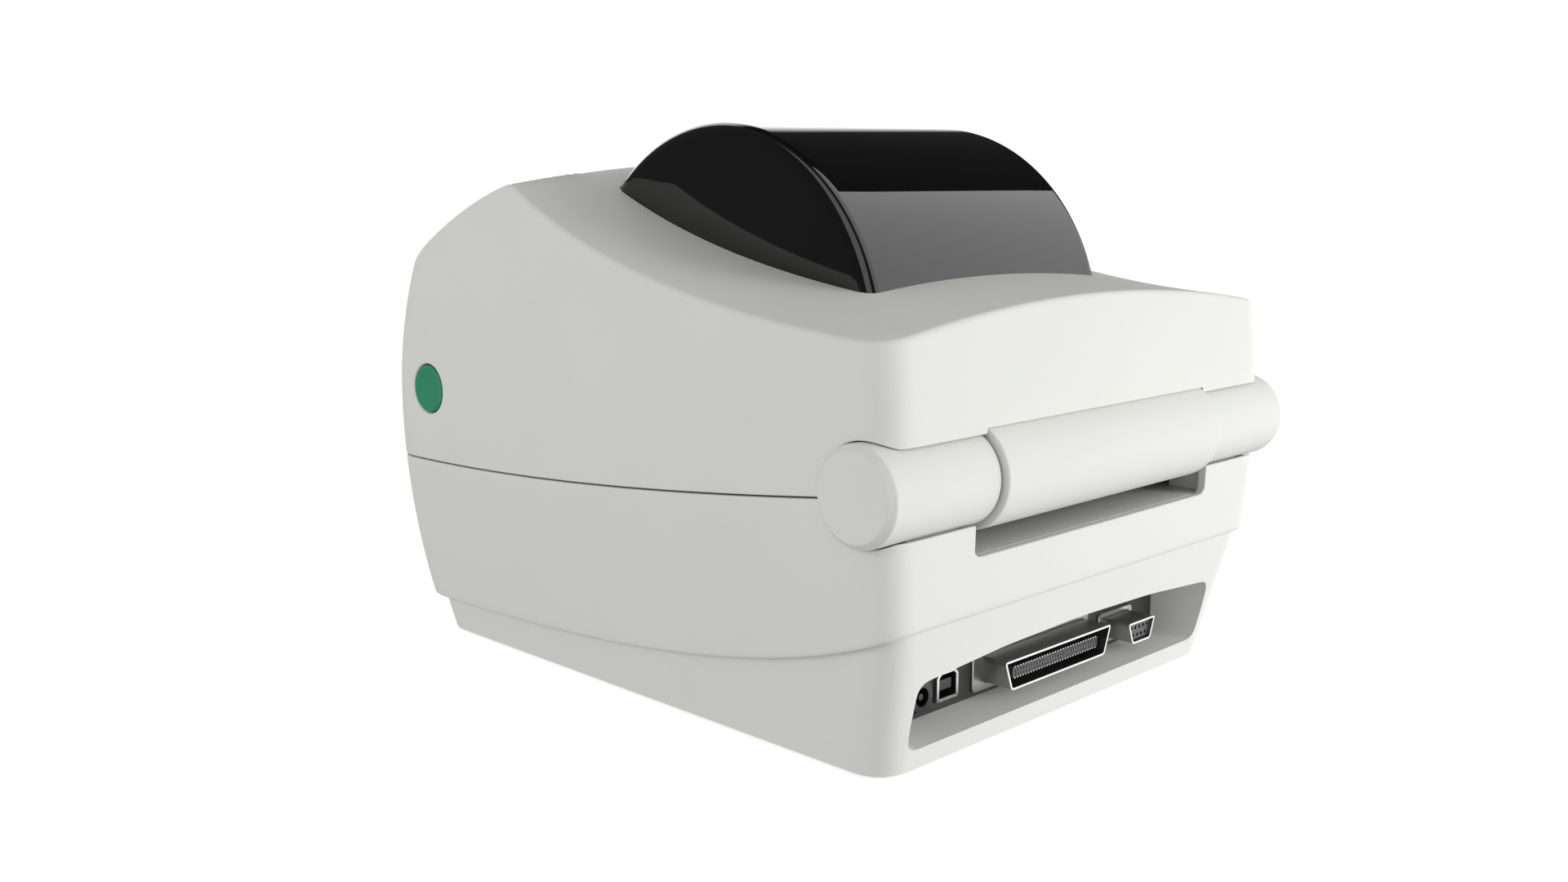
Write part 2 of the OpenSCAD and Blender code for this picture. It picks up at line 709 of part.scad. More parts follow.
module motor_bracket() {
    color("silver") difference() {
        union() {
            block([bracket_x - bracket_t, bracket_x], [-100, -50], [8, 45]);
            block([bracket_x - bracket_t, bracket_x], [-82, -50], [8, deck_low_z]);
            block([bracket_x - bracket_t, bracket_x + 14], [-82, -50], [deck_low_z - bracket_t, deck_low_z]);
            rod_x(idler_pin_r, gear_x - gear_t - 1, bracket_x - bracket_t, idler.x, idler.y);
            rod_x(idler_pin_r + 0.7, gear_x + 0.3, bracket_x - bracket_t, idler.x, idler.y);
        }
        rod_x(8, bracket_x - 3, bracket_x + 1, motor_y, motor_z);
        for (y = [-13, 13]) for (z = [-13, 13])
            rod_x(1.5, bracket_x - 3, bracket_x + 1, motor_y + y, motor_z + z);
    }
}

module stepper_motor() {
    m = motor_size / 2;
    color("gray") difference() {
        union() {
            translate([bracket_x + motor_len / 2, motor_y, motor_z]) along_x(motor_len)
                polygon([[-m, 4 - m], [4 - m, -m], [m - 4, -m], [m, 4 - m],
                    [m, m - 4], [m - 4, m], [4 - m, m], [-m, m - 4]]);
            rod_x(7.8, bracket_x - bracket_t, bracket_x, motor_y, motor_z);
        }
        rod_x(motor_pin_r + run_fit, bracket_x - 5, bracket_x + 16, motor_y, motor_z);
        for (y = [-13, 13]) for (z = [-13, 13])
            rod_x(1.5, bracket_x - 3, bracket_x + 5, motor_y + y, motor_z + z);
    }
}

module motor_screws() {
    color("silver") for (y = [-13, 13]) for (z = [-13, 13]) {
        rod_x(1.5, bracket_x - bracket_t, bracket_x + 4.5, motor_y + y, motor_z + z);
        rod_x(2.6, bracket_x - bracket_t - 1.2, bracket_x - bracket_t, motor_y + y, motor_z + z);
    }
}

module motor_pinion() {
    color("goldenrod") {
        spur_x(motor_teeth, drive_module, motor_y, motor_z, motor_phase, motor_pin_r - 0.2);
        rod_x(motor_pin_r, gear_x - gear_t, bracket_x + 15, motor_y, motor_z);
    }
}

module idler_gear() {
    color("white") spur_x(idler_teeth, drive_module, idler.x, idler.y, idler_phase, idler_pin_r + run_fit);
}

module platen_gear() {
    color("white") spur_x(platen_teeth, drive_module, platen_y, platen_z, platen_phase, shaft_r);
}

module platen_shaft() {
    color("silver") rod_x(shaft_r, gear_x - gear_t - 1.5, cheek_out + 2, platen_y, platen_z);
}

module platen_roller() {
    color("dimgray") difference() {
        rod_x(platen_r, -paper_half, paper_half, platen_y, platen_z);
        rod_x(shaft_r, -paper_half - 1, paper_half + 1, platen_y, platen_z);
    }
}

// ---------------------------------------------------------------- media guides

module rack(x0, x1) {
    pitch = PI * rack_module;
    slope = tan(pressure);
    tip = pinion_r - 0.8 * rack_module;
    root = pinion_r + 1.2 * rack_module;
    half_tip = pitch / 4 - backlash / 2 - 0.8 * rack_module * slope;
    half_root = pitch / 4 - backlash / 2 + 1.2 * rack_module * slope;
    first = ceil(x0 / pitch);
    last = floor(x1 / pitch) - 1;
    teeth = [for (k = [first:last]) let (c = (k + 0.5) * pitch)
        each [[c - half_root, root], [c - half_tip, tip], [c + half_tip, tip], [c + half_root, root]]];
    translate([0, window_y, rack_low_z]) linear_extrude(rack_top_z - rack_low_z)
        polygon(concat([[x0, rack_back], [x0, root]], teeth, [[x1, root], [x1, rack_back]]));
}

// Right-hand guide: an arm in the bay on a rack below the trough
module guide() {
    difference() {
        union() {
            rack(-12, arm_in + arm_t);
            block([arm_in, arm_in + arm_t], [window_y + foot_near, window_y + foot_far],
                [rack_low_z, arm_low_z + 2]);
            translate([arm_in + arm_t / 2, 0, 0]) along_x(arm_t) polygon([[window_y - 12, arm_low_z],
                [window_y + foot_far, arm_low_z], [window_y + 9, roll_z], [window_y - 9, roll_z]]);
            rod_x(9, arm_in, arm_in + arm_t, window_y, roll_z);
            rod_x(hub_pin_r, arm_in - hub_len - 0.6, arm_in, window_y, roll_z);
        }
        translate([arm_in - 1, window_y, 78]) rotate([0, 90, 0]) cylinder(r = 5, h = arm_t + 2);
    }
}

module media_guide_left() {
    color("dimgray") mirror([1, 0, 0]) guide();
}

module media_guide_right() {
    color("dimgray") translate([0, 2 * window_y, 0]) mirror([0, 1, 0]) guide();
}

module guide_pinion() {
    color("white") {
        translate([0, window_y, rack_low_z]) linear_extrude(rack_top_z - rack_low_z)
            rotate(90) polygon(gear_outline(guide_teeth, rack_module));
        translate([0, window_y, rack_cover_z[0] + 0.4]) cylinder(r = rack_pin_r, h = 8.4);
    }
}

module hub(side) {
    color("dimgray") mirror([side < 0 ? 1 : 0, 0, 0]) difference() {
        rod_x(hub_r, arm_in - hub_len - 0.3, arm_in - 0.3, window_y, roll_z);
        rod_x(hub_pin_r + run_fit, arm_in - hub_len - 1, arm_in, window_y, roll_z);
        for (a = [0:60:300]) translate([0, window_y + 7.5 * cos(a), roll_z + 7.5 * sin(a)])
            rod_x(1.8, arm_in - hub_len - 1, arm_in - hub_len + 2, 0, 0);
    }
}

module roll_hub_left() {
    hub(-1);
}

module roll_hub_right() {
    hub(1);
}

// ---------------------------------------------------------------- electronics

board_x = [-70, 57];
board_y = [14, panel_y - panel_t];
board_holes = [[-66, 18], [-66, 66], [53, 18], [33, 66]];

module main_board() {
    color("darkgreen") difference() {
        block(board_x, board_y, [board_top_z - board_t, board_top_z]);
        for (p = board_holes) translate([p.x, p.y, 0]) cylinder(r = 1.6, h = 30);
    }
}

module board_screws() {
    color("silver") for (p = board_holes) translate([p.x, p.y, board_top_z - board_t - 4]) {
        cylinder(r = 1.25, h = board_t + 4);
        translate([0, 0, board_t + 4]) cylinder(r = 2.6, h = 1.8);
    }
}

module board_components() {
    z = board_top_z;
    color("dimgray") {
        for (x = [-50, -37]) translate([x, 28, z]) cylinder(r = 5, h = 16);
        block([-20, 0], [30, 50], [z, z + 1.6]);
        block([6, 18], [30, 42], [z, z + 1.4]);
        block([-52, -40], [44, 60], [z, z + 4.5]);
        block([24, 44], [22, 30], [z, z + 8]);
        block([-30, -4], [17, 23], [z, z + 6]);
    }
}

module connector_panel() {
    half = recess_half - 3.4;
    color([0.27, 0.27, 0.27]) difference() {
        block([-half, half], [panel_y - panel_t, panel_y], [5.5, 28.4]);
        block([usb_x - 5, usb_x + 5], [80, 90], [usb_z - 4.6, usb_z + 4.6]);
        rod_y(4.7, 80, 90, jack_x, jack_z);
        block([rocker_x - 4.9, rocker_x + 4.9], [80, 90], [rocker_z - 6.9, rocker_z + 6.9]);
        plate_y(d_shape(51, 8.4, 1), 80, 90, parallel_x, parallel_z);
        plate_y(d_shape(13.6, 6, 1), 80, 90, serial_x, serial_z);
    }
}

module power_jack() {
    color([0.1, 0.1, 0.1]) {
        difference() {
            union() {
                block([jack_x - 4.4, jack_x + 4.4], [76, panel_y - panel_t], [board_top_z, jack_z + 4.6]);
                rod_y(4.6, panel_y - panel_t, panel_y + 1.2, jack_x, jack_z);
            }
            rod_y(2.8, 78, 95, jack_x, jack_z);
        }
        rod_y(1, 77, panel_y + 0.6, jack_x, jack_z);
    }
}

function usb_outline(w, h, c) = [[-w, -h], [w, -h], [w, h - c], [w - c, h], [c - w, h], [-w, h - c]];

module usb_socket() {
    color("silver") {
        difference() {
            union() {
                plate_y(usb_outline(4.9, 4.5, 1.6), panel_y - panel_t, panel_y + 1.2, usb_x, usb_z);
                block([usb_x - 4.9, usb_x + 4.9], [74, panel_y - panel_t], [board_top_z, usb_z + 4.5]);
            }
            plate_y(usb_outline(4.2, 3.9, 1.5), 76, 95, usb_x, usb_z);
        }
        block([usb_x - 2.8, usb_x + 2.8], [75, panel_y + 0.4], [usb_z - 1.6, usb_z + 1.6]);
    }
}

// Metal flange and D-shaped shell of a connector
module port_shell(w, h, flange_w, flange_h, x, z) {
    color("silver") difference() {
        union() {
            plate_y(d_shape(w, h, 1.2), panel_y + flange_t, panel_y + port_reach, x, z);
            plate_y(soft([[-flange_w, -flange_h], [flange_w, -flange_h], [flange_w, flange_h],
                [-flange_w, flange_h]] / 2, 1.8), panel_y, panel_y + flange_t, x, z);
        }
        plate_y(d_shape(w - 1.4, h - 1.4, 0.9), panel_y - 1, panel_y + port_reach + 1, x, z);
    }
}

module parallel_port_shell() {
    port_shell(55.5, 9.4, 60, 13.6, parallel_x, parallel_z);
}

module parallel_port_insert() {
    color([0.16, 0.16, 0.16]) {
        plate_y(d_shape(50.4, 7.8, 0.9), 76, panel_y + 3, parallel_x, parallel_z);
        block([parallel_x - 22, parallel_x + 22], [panel_y + 3, panel_y + port_reach - 1.5],
            [parallel_z - 1.5, parallel_z + 1.5]);
        block([parallel_x - 24, parallel_x + 24], [70, 76.5], [board_top_z, parallel_z + 4]);
    }
}

module serial_port_shell() {
    port_shell(15.8, 7.4, 19.6, 10.6, serial_x, serial_z);
}

module serial_port_insert() {
    color([0.16, 0.16, 0.16]) {
        difference() {
            plate_y(d_shape(13.2, 5.4, 0.8), 76, panel_y + port_reach - 1, serial_x, serial_z);
            for (i = [0:4]) rod_y(0.55, panel_y + 2, 110, serial_x + (i - 2) * 2.3, serial_z + 1.25);
            for (i = [0:3]) rod_y(0.55, panel_y + 2, 110, serial_x + (i - 1.5) * 2.3, serial_z - 1.25);
        }
        block([serial_x - 7, serial_x + 7], [70, 76.5], [board_top_z, serial_z + 3]);
    }
}

module switch_housing() {
    color([0.1, 0.1, 0.1]) difference() {
        union() {
            block([rocker_x - 5, rocker_x + 5], [panel_y, panel_y + 1.4], [rocker_z - 7, rocker_z + 7]);
            block([rocker_x - 4.8, rocker_x + 4.8], [74, panel_y], [rocker_z - 6.8, rocker_z + 6.8]);
        }
        block([rocker_x - 4, rocker_x + 4], [79, 95], [rocker_z - 6, rocker_z + 6]);
        rod_x(1, rocker_x - 4.6, rocker_x + 4.6, panel_y - 2, rocker_z);
    }
}

module power_rocker() {
    y = panel_y - 2;
    color([0.08, 0.08, 0.08]) {
        translate([rocker_x, 0, 0]) along_x(7.4) polygon([[y - 4, rocker_z - 2.4], [y - 4, rocker_z + 2.4],
            [y + 3, rocker_z + 5.1], [y + 4.6, rocker_z + 5], [y + 3, rocker_z], [y + 3, rocker_z - 5.1],
            [y + 2, rocker_z - 5.4]]);
        rod_x(1 - run_fit, rocker_x - 4.5, rocker_x + 4.5, y, rocker_z);
    }
}

// ---------------------------------------------------------------- cover frame and print head

module cover_frame() {
    top = frame_z + frame_t;
    color("dimgray") difference() {
        union() {
            block([-beam_half, beam_half], beam_y, [frame_z, top]);
            both_sides() {
                block([rail_in, rail_out], [beam_y[0], crossbar_y[1]], [frame_z, top]);
                for (y = tab_y) block([rail_in, tab_x + 4], [y - 4, y + 4], [frame_z, top]);
                block([bracket_in, beam_half], [release_y - 9, release_y + 9], [frame_z, release_z + 9]);
            }
            block([-rail_out, rail_out], crossbar_y, [frame_z, top]);
        }
        both_sides() {
            rod_x(stem_r + run_fit, bracket_in - 1, beam_half + 1, release_y, release_z);
            for (y = tab_y) translate([tab_x, y, 70]) cylinder(r = case_screw_r, h = 20);
        }
        for (x = [-40, 0, 46]) translate([x, crossbar_y[0] + 6, 70]) cylinder(r = 1.25, h = 20);
        for (x = [-head_pin_x, head_pin_x]) translate([x, platen_y, 70]) cylinder(r = head_pin_r, h = 20);
    }
}

module cover_screws() {
    color("silver") {
        both_sides() for (y = tab_y) translate([tab_x, y, frame_z - 1.8]) {
            cylinder(r = 2.8, h = 1.8);
            cylinder(r = case_screw_r, h = 12);
        }
        for (x = [-40, 0, 46]) translate([x, crossbar_y[0] + 6, frame_z - 1.6]) {
            cylinder(r = 2.4, h = 1.6);
            cylinder(r = 1.25, h = 6.4);
        }
    }
}

module status_light() {
    color("lightgreen") on_slope(feed_x - 15) translate([0, 0, -6]) cylinder(r = 2, h = 6.3);
}

module button_board() {
    color("darkgreen") {
        on_slope(feed_x - 7) translate([-14, -8, -board_drop - board_t]) cube([28, 16, board_t]);
        on_slope(feed_x) translate([-3, -3, -board_drop]) cube([6, 6, 2.2]);
        on_slope(feed_x - 15) translate([-1.5, -1.5, -board_drop]) cube([3, 3, 2.8]);
    }
}

module feed_button() {
    color("seagreen") on_slope(feed_x) {
        translate([0, 0, -4.2]) cylinder(r = feed_r, h = 5);
        translate([0, 0, -6.8 + feed_travel + body_gap]) cylinder(r = 2.5, h = 3);
    }
}

module printhead_heatsink() {
    low = strip_low_z + strip_t;
    color("silver") difference() {
        block([-57, 57], [platen_y - 8, platen_y + 10], [low, head_top_z]);
        for (x = [-head_pin_x, head_pin_x]) translate([x, platen_y, 50])
            cylinder(r = head_pin_r + run_fit, h = 30);
        for (i = [0:5]) block([-44, 44], [platen_y - 6.5 + i * 2.8, platen_y - 5.3 + i * 2.8],
            [head_top_z - 1.6, head_top_z + 1]);
    }
}

module printhead_strip() {
    color("tan") block([-paper_half, paper_half], [platen_y - 5, platen_y + 7],
        [strip_low_z, strip_low_z + strip_t]);
}

module printhead_plug() {
    color("white") block([24, 40], [platen_y + 10, platen_y + 14], [head_top_z - 4.4, head_top_z + 2]);
}

module head_guide_pins() {
    low = strip_low_z + strip_t + head_travel + body_gap;
    color("silver") for (x = [-head_pin_x, head_pin_x]) translate([x, platen_y, low])
        cylinder(r = head_pin_r, h = frame_z + frame_t - low);
}

module head_springs() {
    color("silver") for (x = [-head_spring_x, head_spring_x]) translate([x, platen_y, head_top_z])
        coil(3.2, 0.45, frame_z - head_top_z, 4);
}

module latch_spring() {
    x = body_w / 2 - button_back;
    translate([beam_half, release_y, release_z]) rotate([0, 90, 0]) coil(5.2, 0.45, x - beam_half, 3);
}

module latch_spring_left() {
    color("silver") mirror([1, 0, 0]) latch_spring();
}

module latch_spring_right() {
    color("silver") latch_spring();
}

// Right-hand release button: a disc and its stem, with the hook that holds the cover down
module release_button() {
    face = body_w / 2;
    rod_x(release_r, face - button_back, face + 0.4, release_y, release_z);
    rod_x(stem_r, bracket_in - 4, face - button_back, release_y, release_z);
    hook_y = [release_y - 3, release_y + 3];
    block([hook_in, hook_in + hook_t], hook_y, [nose_top - 3.5, release_z - 6]);
    block([hook_in, face - button_back + 1], hook_y, [release_z - 7.9, release_z - 6]);
    translate([0, release_y + 3, 0]) rotate([90, 0, 0]) linear_extrude(6)
        polygon([[hook_in + hook_t - 0.5, nose_top], [hook_in + hook_t + 3.4, nose_top],
            [hook_in + hook_t - 0.5, nose_top - 3.5]]);
}

module release_button_left() {
    color("seagreen") mirror([1, 0, 0]) release_button();
}

module release_button_right() {
    color("seagreen") release_button();
}

// ---------------------------------------------------------------- cable to the print head

cable_r = 1.5;
lower_route = [[34, 26, board_top_z + 8], [34, 26, 22], [38, 27, 26], [46, 32, 27.5], [56, 42, 27.5],
    [64, 54, 28], [69, 68, 30], [72, 80, 34], [72, 92, 41], [72, 100, 48], [72, hinge_y, 55],
    [72, hinge_y, 62], [72, hinge_y, 70], [71.6, hinge_y, 75.5], [69.5, hinge_y, 79.6],
    [66, hinge_y, hinge_z], [60, hinge_y, hinge_z], [54, hinge_y, hinge_z], [48.2, hinge_y, hinge_z]];
upper_route = [[47.9, hinge_y, hinge_z], [43, hinge_y, hinge_z], [38, hinge_y - 0.8, hinge_z + 0.6],
    [34.5, hinge_y - 4, hinge_z + 3.4], [33, hinge_y - 9, hinge_z + 6.4], [33, hinge_y - 15, hinge_z + 7.4],
    [34, hinge_y - 20, hinge_z + 7.2], [38, 80, 88], [46, 77, 88], [55, 75, 87], [61, 71, 85.6],
    [64.8, 64, 84.4], [64.8, 40, 84.4], [64.8, 10, 84.4], [64.8, -20, 84.4], [64.8, -50, 84.4],
    [63.5, -60, 84.4], [58, -67, 83], [48, -69, 78], [38, -70.5, 73.5], [33, -74, 71.4],
    [32, -80, 71], [32, -85.7, 71]];

module head_cable_lower() {
    color("dimgray") swept(lower_route, cable_r, 8, [0.3, 0.7, 0.2]);
}

module head_cable_upper() {
    color("dimgray") swept(upper_route, cable_r, 8, [0.1, 0.2, 1]);
}

lower_case();
bottom_case();
rubber_feet();
case_screws();
media_tray();
rack_cover();
main_board();
board_components();
board_screws();
connector_panel();
switch_housing();
power_jack();
usb_socket();
parallel_port_shell();
parallel_port_insert();
serial_port_shell();
serial_port_insert();
hinge_end_left();
hinge_end_right();
hinge_pins();
hinge_end_screws();
stepper_motor();
motor_bracket();
motor_screws();
platen_bearings();
tear_bar();
gap_sensor();
latch_strikes();
head_cable_lower();
power_rocker();
platen_shaft();
platen_roller();
platen_gear();
idler_gear();
motor_pinion();
media_guide_left();
media_guide_right();
guide_pinion();
roll_hub_left();
roll_hub_right();
top_cover();
roll_window();
hinge_sleeve();
cover_frame();
cover_screws();
status_light();
button_board();
head_cable_upper();
head_guide_pins();
head_springs();
latch_spring_left();
latch_spring_right();
feed_button();
release_button_left();
release_button_right();
printhead_heatsink();
printhead_strip();
printhead_plug();
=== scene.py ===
"""Desktop thermal label printer: finished surfaces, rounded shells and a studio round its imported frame."""

import json
import math

import bmesh
import bpy
from mathutils import Matrix, Vector


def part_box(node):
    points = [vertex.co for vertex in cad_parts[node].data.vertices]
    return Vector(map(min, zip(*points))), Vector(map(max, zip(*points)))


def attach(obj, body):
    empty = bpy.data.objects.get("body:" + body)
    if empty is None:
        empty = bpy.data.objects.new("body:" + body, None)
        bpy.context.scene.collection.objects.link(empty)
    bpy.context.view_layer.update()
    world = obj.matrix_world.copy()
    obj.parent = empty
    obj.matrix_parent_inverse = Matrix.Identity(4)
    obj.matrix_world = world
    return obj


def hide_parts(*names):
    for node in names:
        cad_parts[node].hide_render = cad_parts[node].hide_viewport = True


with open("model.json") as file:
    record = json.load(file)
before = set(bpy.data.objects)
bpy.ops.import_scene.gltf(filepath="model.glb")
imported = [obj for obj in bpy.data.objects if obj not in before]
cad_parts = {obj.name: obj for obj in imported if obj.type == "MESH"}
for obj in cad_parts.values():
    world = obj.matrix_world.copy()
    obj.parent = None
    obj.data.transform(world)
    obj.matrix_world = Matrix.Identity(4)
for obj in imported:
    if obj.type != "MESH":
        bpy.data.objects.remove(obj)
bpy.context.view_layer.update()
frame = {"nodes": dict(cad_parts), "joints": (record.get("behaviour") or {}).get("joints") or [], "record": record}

bl_info = {
    "name": "Thermal Label Printer",
    "version": (1, 0, 0),
    "blender": (4, 5, 0),
    "location": "3D View > Sidebar > Printer",
    "description": "Builds the shells, finishes and studio of a desktop thermal label printer",
    "category": "Object",
}

MM = 0.001
BODY_OF = {node: body for body, nodes in frame["record"]["behaviour"]["bodies"].items() for node in nodes}


# ---------------------------------------------------------------- settings

def linear(colour):
    """A colour written as sRGB hex, as the linear values that shaders use."""
    parts = [int(colour[i:i + 2], 16) / 255 for i in (1, 3, 5)]
    return tuple(p / 12.92 if p <= 0.04045 else ((p + 0.055) / 1.055) ** 2.4 for p in parts)


def colour_setting(label, about, colour):
    return bpy.props.FloatVectorProperty(name=label, description=about, default=linear(colour),
                                         subtype="COLOR", min=0, max=1)


def length_setting(label, about, millimetres):
    return bpy.props.FloatProperty(name=label, description=about, default=millimetres * MM, unit="LENGTH",
                                   subtype="DISTANCE", precision=5)


class PrinterSizes(bpy.types.PropertyGroup):
    """Sizes of the moulded shells."""

    half_width: length_setting("Half width", "Half the width over the side walls at their widest", 95.5)
    front: length_setting("Front", "Distance from the origin to the front wall", 119.5)
    rear: length_setting("Rear", "Distance from the origin to the rear wall", 112.5)
    wall: length_setting("Wall", "Thickness of the outer shells", 2.5)
    top_edge: length_setting("Top edge", "Radius of the edge between the walls and the top", 1.4)
    rim_edge: length_setting("Rim edge", "Radius of the edges along the parting line", 0.5)
    window_radius: length_setting("Window radius", "Outer radius of the round window", 67)
    window_rim: length_setting("Window rim", "Radius of the window's rounded rims", 4)


class PrinterColours(bpy.types.PropertyGroup):
    """Colours of the mouldings."""

    case: colour_setting("Case", "Light warm grey of the case and cover", "#D2D3CE")
    window: colour_setting("Window", "Smoke tint of the roll window", "#050505")
    buttons: colour_setting("Buttons", "Green of the feed and release buttons", "#2F8A63")
    chassis: colour_setting("Chassis", "Charcoal of the inner mouldings", "#2B2D2F")
    panel: colour_setting("Connector panel", "Dark grey of the connector panel", "#343434")


class StudioSettings(bpy.types.PropertyGroup):
    """Strengths of the studio lights."""

    key: bpy.props.FloatProperty(name="Rear softbox", description="Power of the softbox behind the printer",
                                 default=22.5, min=0, unit="POWER")
    side: bpy.props.FloatProperty(name="Side softbox", description="Power of the softbox beside the printer",
                                  default=8, min=0, unit="POWER")
    surround: bpy.props.FloatProperty(name="Surround", description="Brightness of the pale surround",
                                      default=0.95, min=0)
    table: bpy.props.FloatProperty(name="Light table", description="Glow of the translucent floor",
                                   default=0.48, min=0)


# ---------------------------------------------------------------- node helper and finishes

def add_node(tree, kind, inputs=None, links=None, **settings):
    """Adds a node with its settings, input values and links, and returns it."""
    node = tree.nodes.new(kind)
    for key, value in settings.items():
        setattr(node, key, value)
    for key, value in (inputs or {}).items():
        node.inputs[key].default_value = value
    for key, source in (links or {}).items():
        tree.links.new(source, node.inputs[key])
    return node


FINISHES = {}


def finish(name, slot, light, dark, grain, roughness, bump=0.0, stretch=(1, 1, 1), metallic=0.0, ior=1.5,
           mottle=0.0, **shader):
    """A procedural finish: grain in millimetres drives the bump, the gloss and a slight change of colour
    from light to dark, given in hex or linear. mottle in millimetres adds a broader change of gloss."""
    light, dark = (linear(colour) if isinstance(colour, str) else colour for colour in (light, dark))
    material = bpy.data.materials.new(name)
    material.use_nodes = True
    tree = material.node_tree
    tree.nodes.clear()
    place = add_node(tree, "ShaderNodeTexCoord")
    scaled = add_node(tree, "ShaderNodeMapping", {"Scale": [1 / (grain * MM * s) for s in stretch]},
                      {"Vector": place.outputs["Object"]})
    noise = add_node(tree, "ShaderNodeTexNoise", {"Scale": 1.0, "Detail": 3.0, "Roughness": 0.55},
                     {"Vector": scaled.outputs["Vector"]})
    value = noise.outputs["Fac"]
    if mottle:
        broad = add_node(tree, "ShaderNodeTexNoise", {"Scale": 1 / (mottle * MM), "Detail": 2.0},
                         {"Vector": place.outputs["Object"]})
        value = add_node(tree, "ShaderNodeMix", {0: 0.5}, {2: value, 3: broad.outputs["Fac"]}).outputs[0]
    tint = add_node(tree, "ShaderNodeMixRGB", {"Color1": (*dark, 1), "Color2": (*light, 1)},
                    {"Fac": value})
    gloss = add_node(tree, "ShaderNodeMapRange", {"To Min": roughness[0], "To Max": roughness[1]},
                     {"Value": value})
    surface = add_node(tree, "ShaderNodeBsdfPrincipled", {"Metallic": metallic, "IOR": ior, **shader},
                       {"Base Color": tint.outputs["Color"], "Roughness": gloss.outputs["Result"]})
    if bump:
        relief = add_node(tree, "ShaderNodeBump", {"Strength": 1.0, "Distance": bump * MM},
                          {"Height": noise.outputs["Fac"]})
        tree.links.new(relief.outputs["Normal"], surface.inputs["Normal"])
    add_node(tree, "ShaderNodeOutputMaterial", {}, {"Surface": surface.outputs["BSDF"]})
    material["slot"] = slot
    FINISHES[name] = material
    return material


def shade(colour, factor):
    return tuple(min(1.0, c * factor) for c in colour)


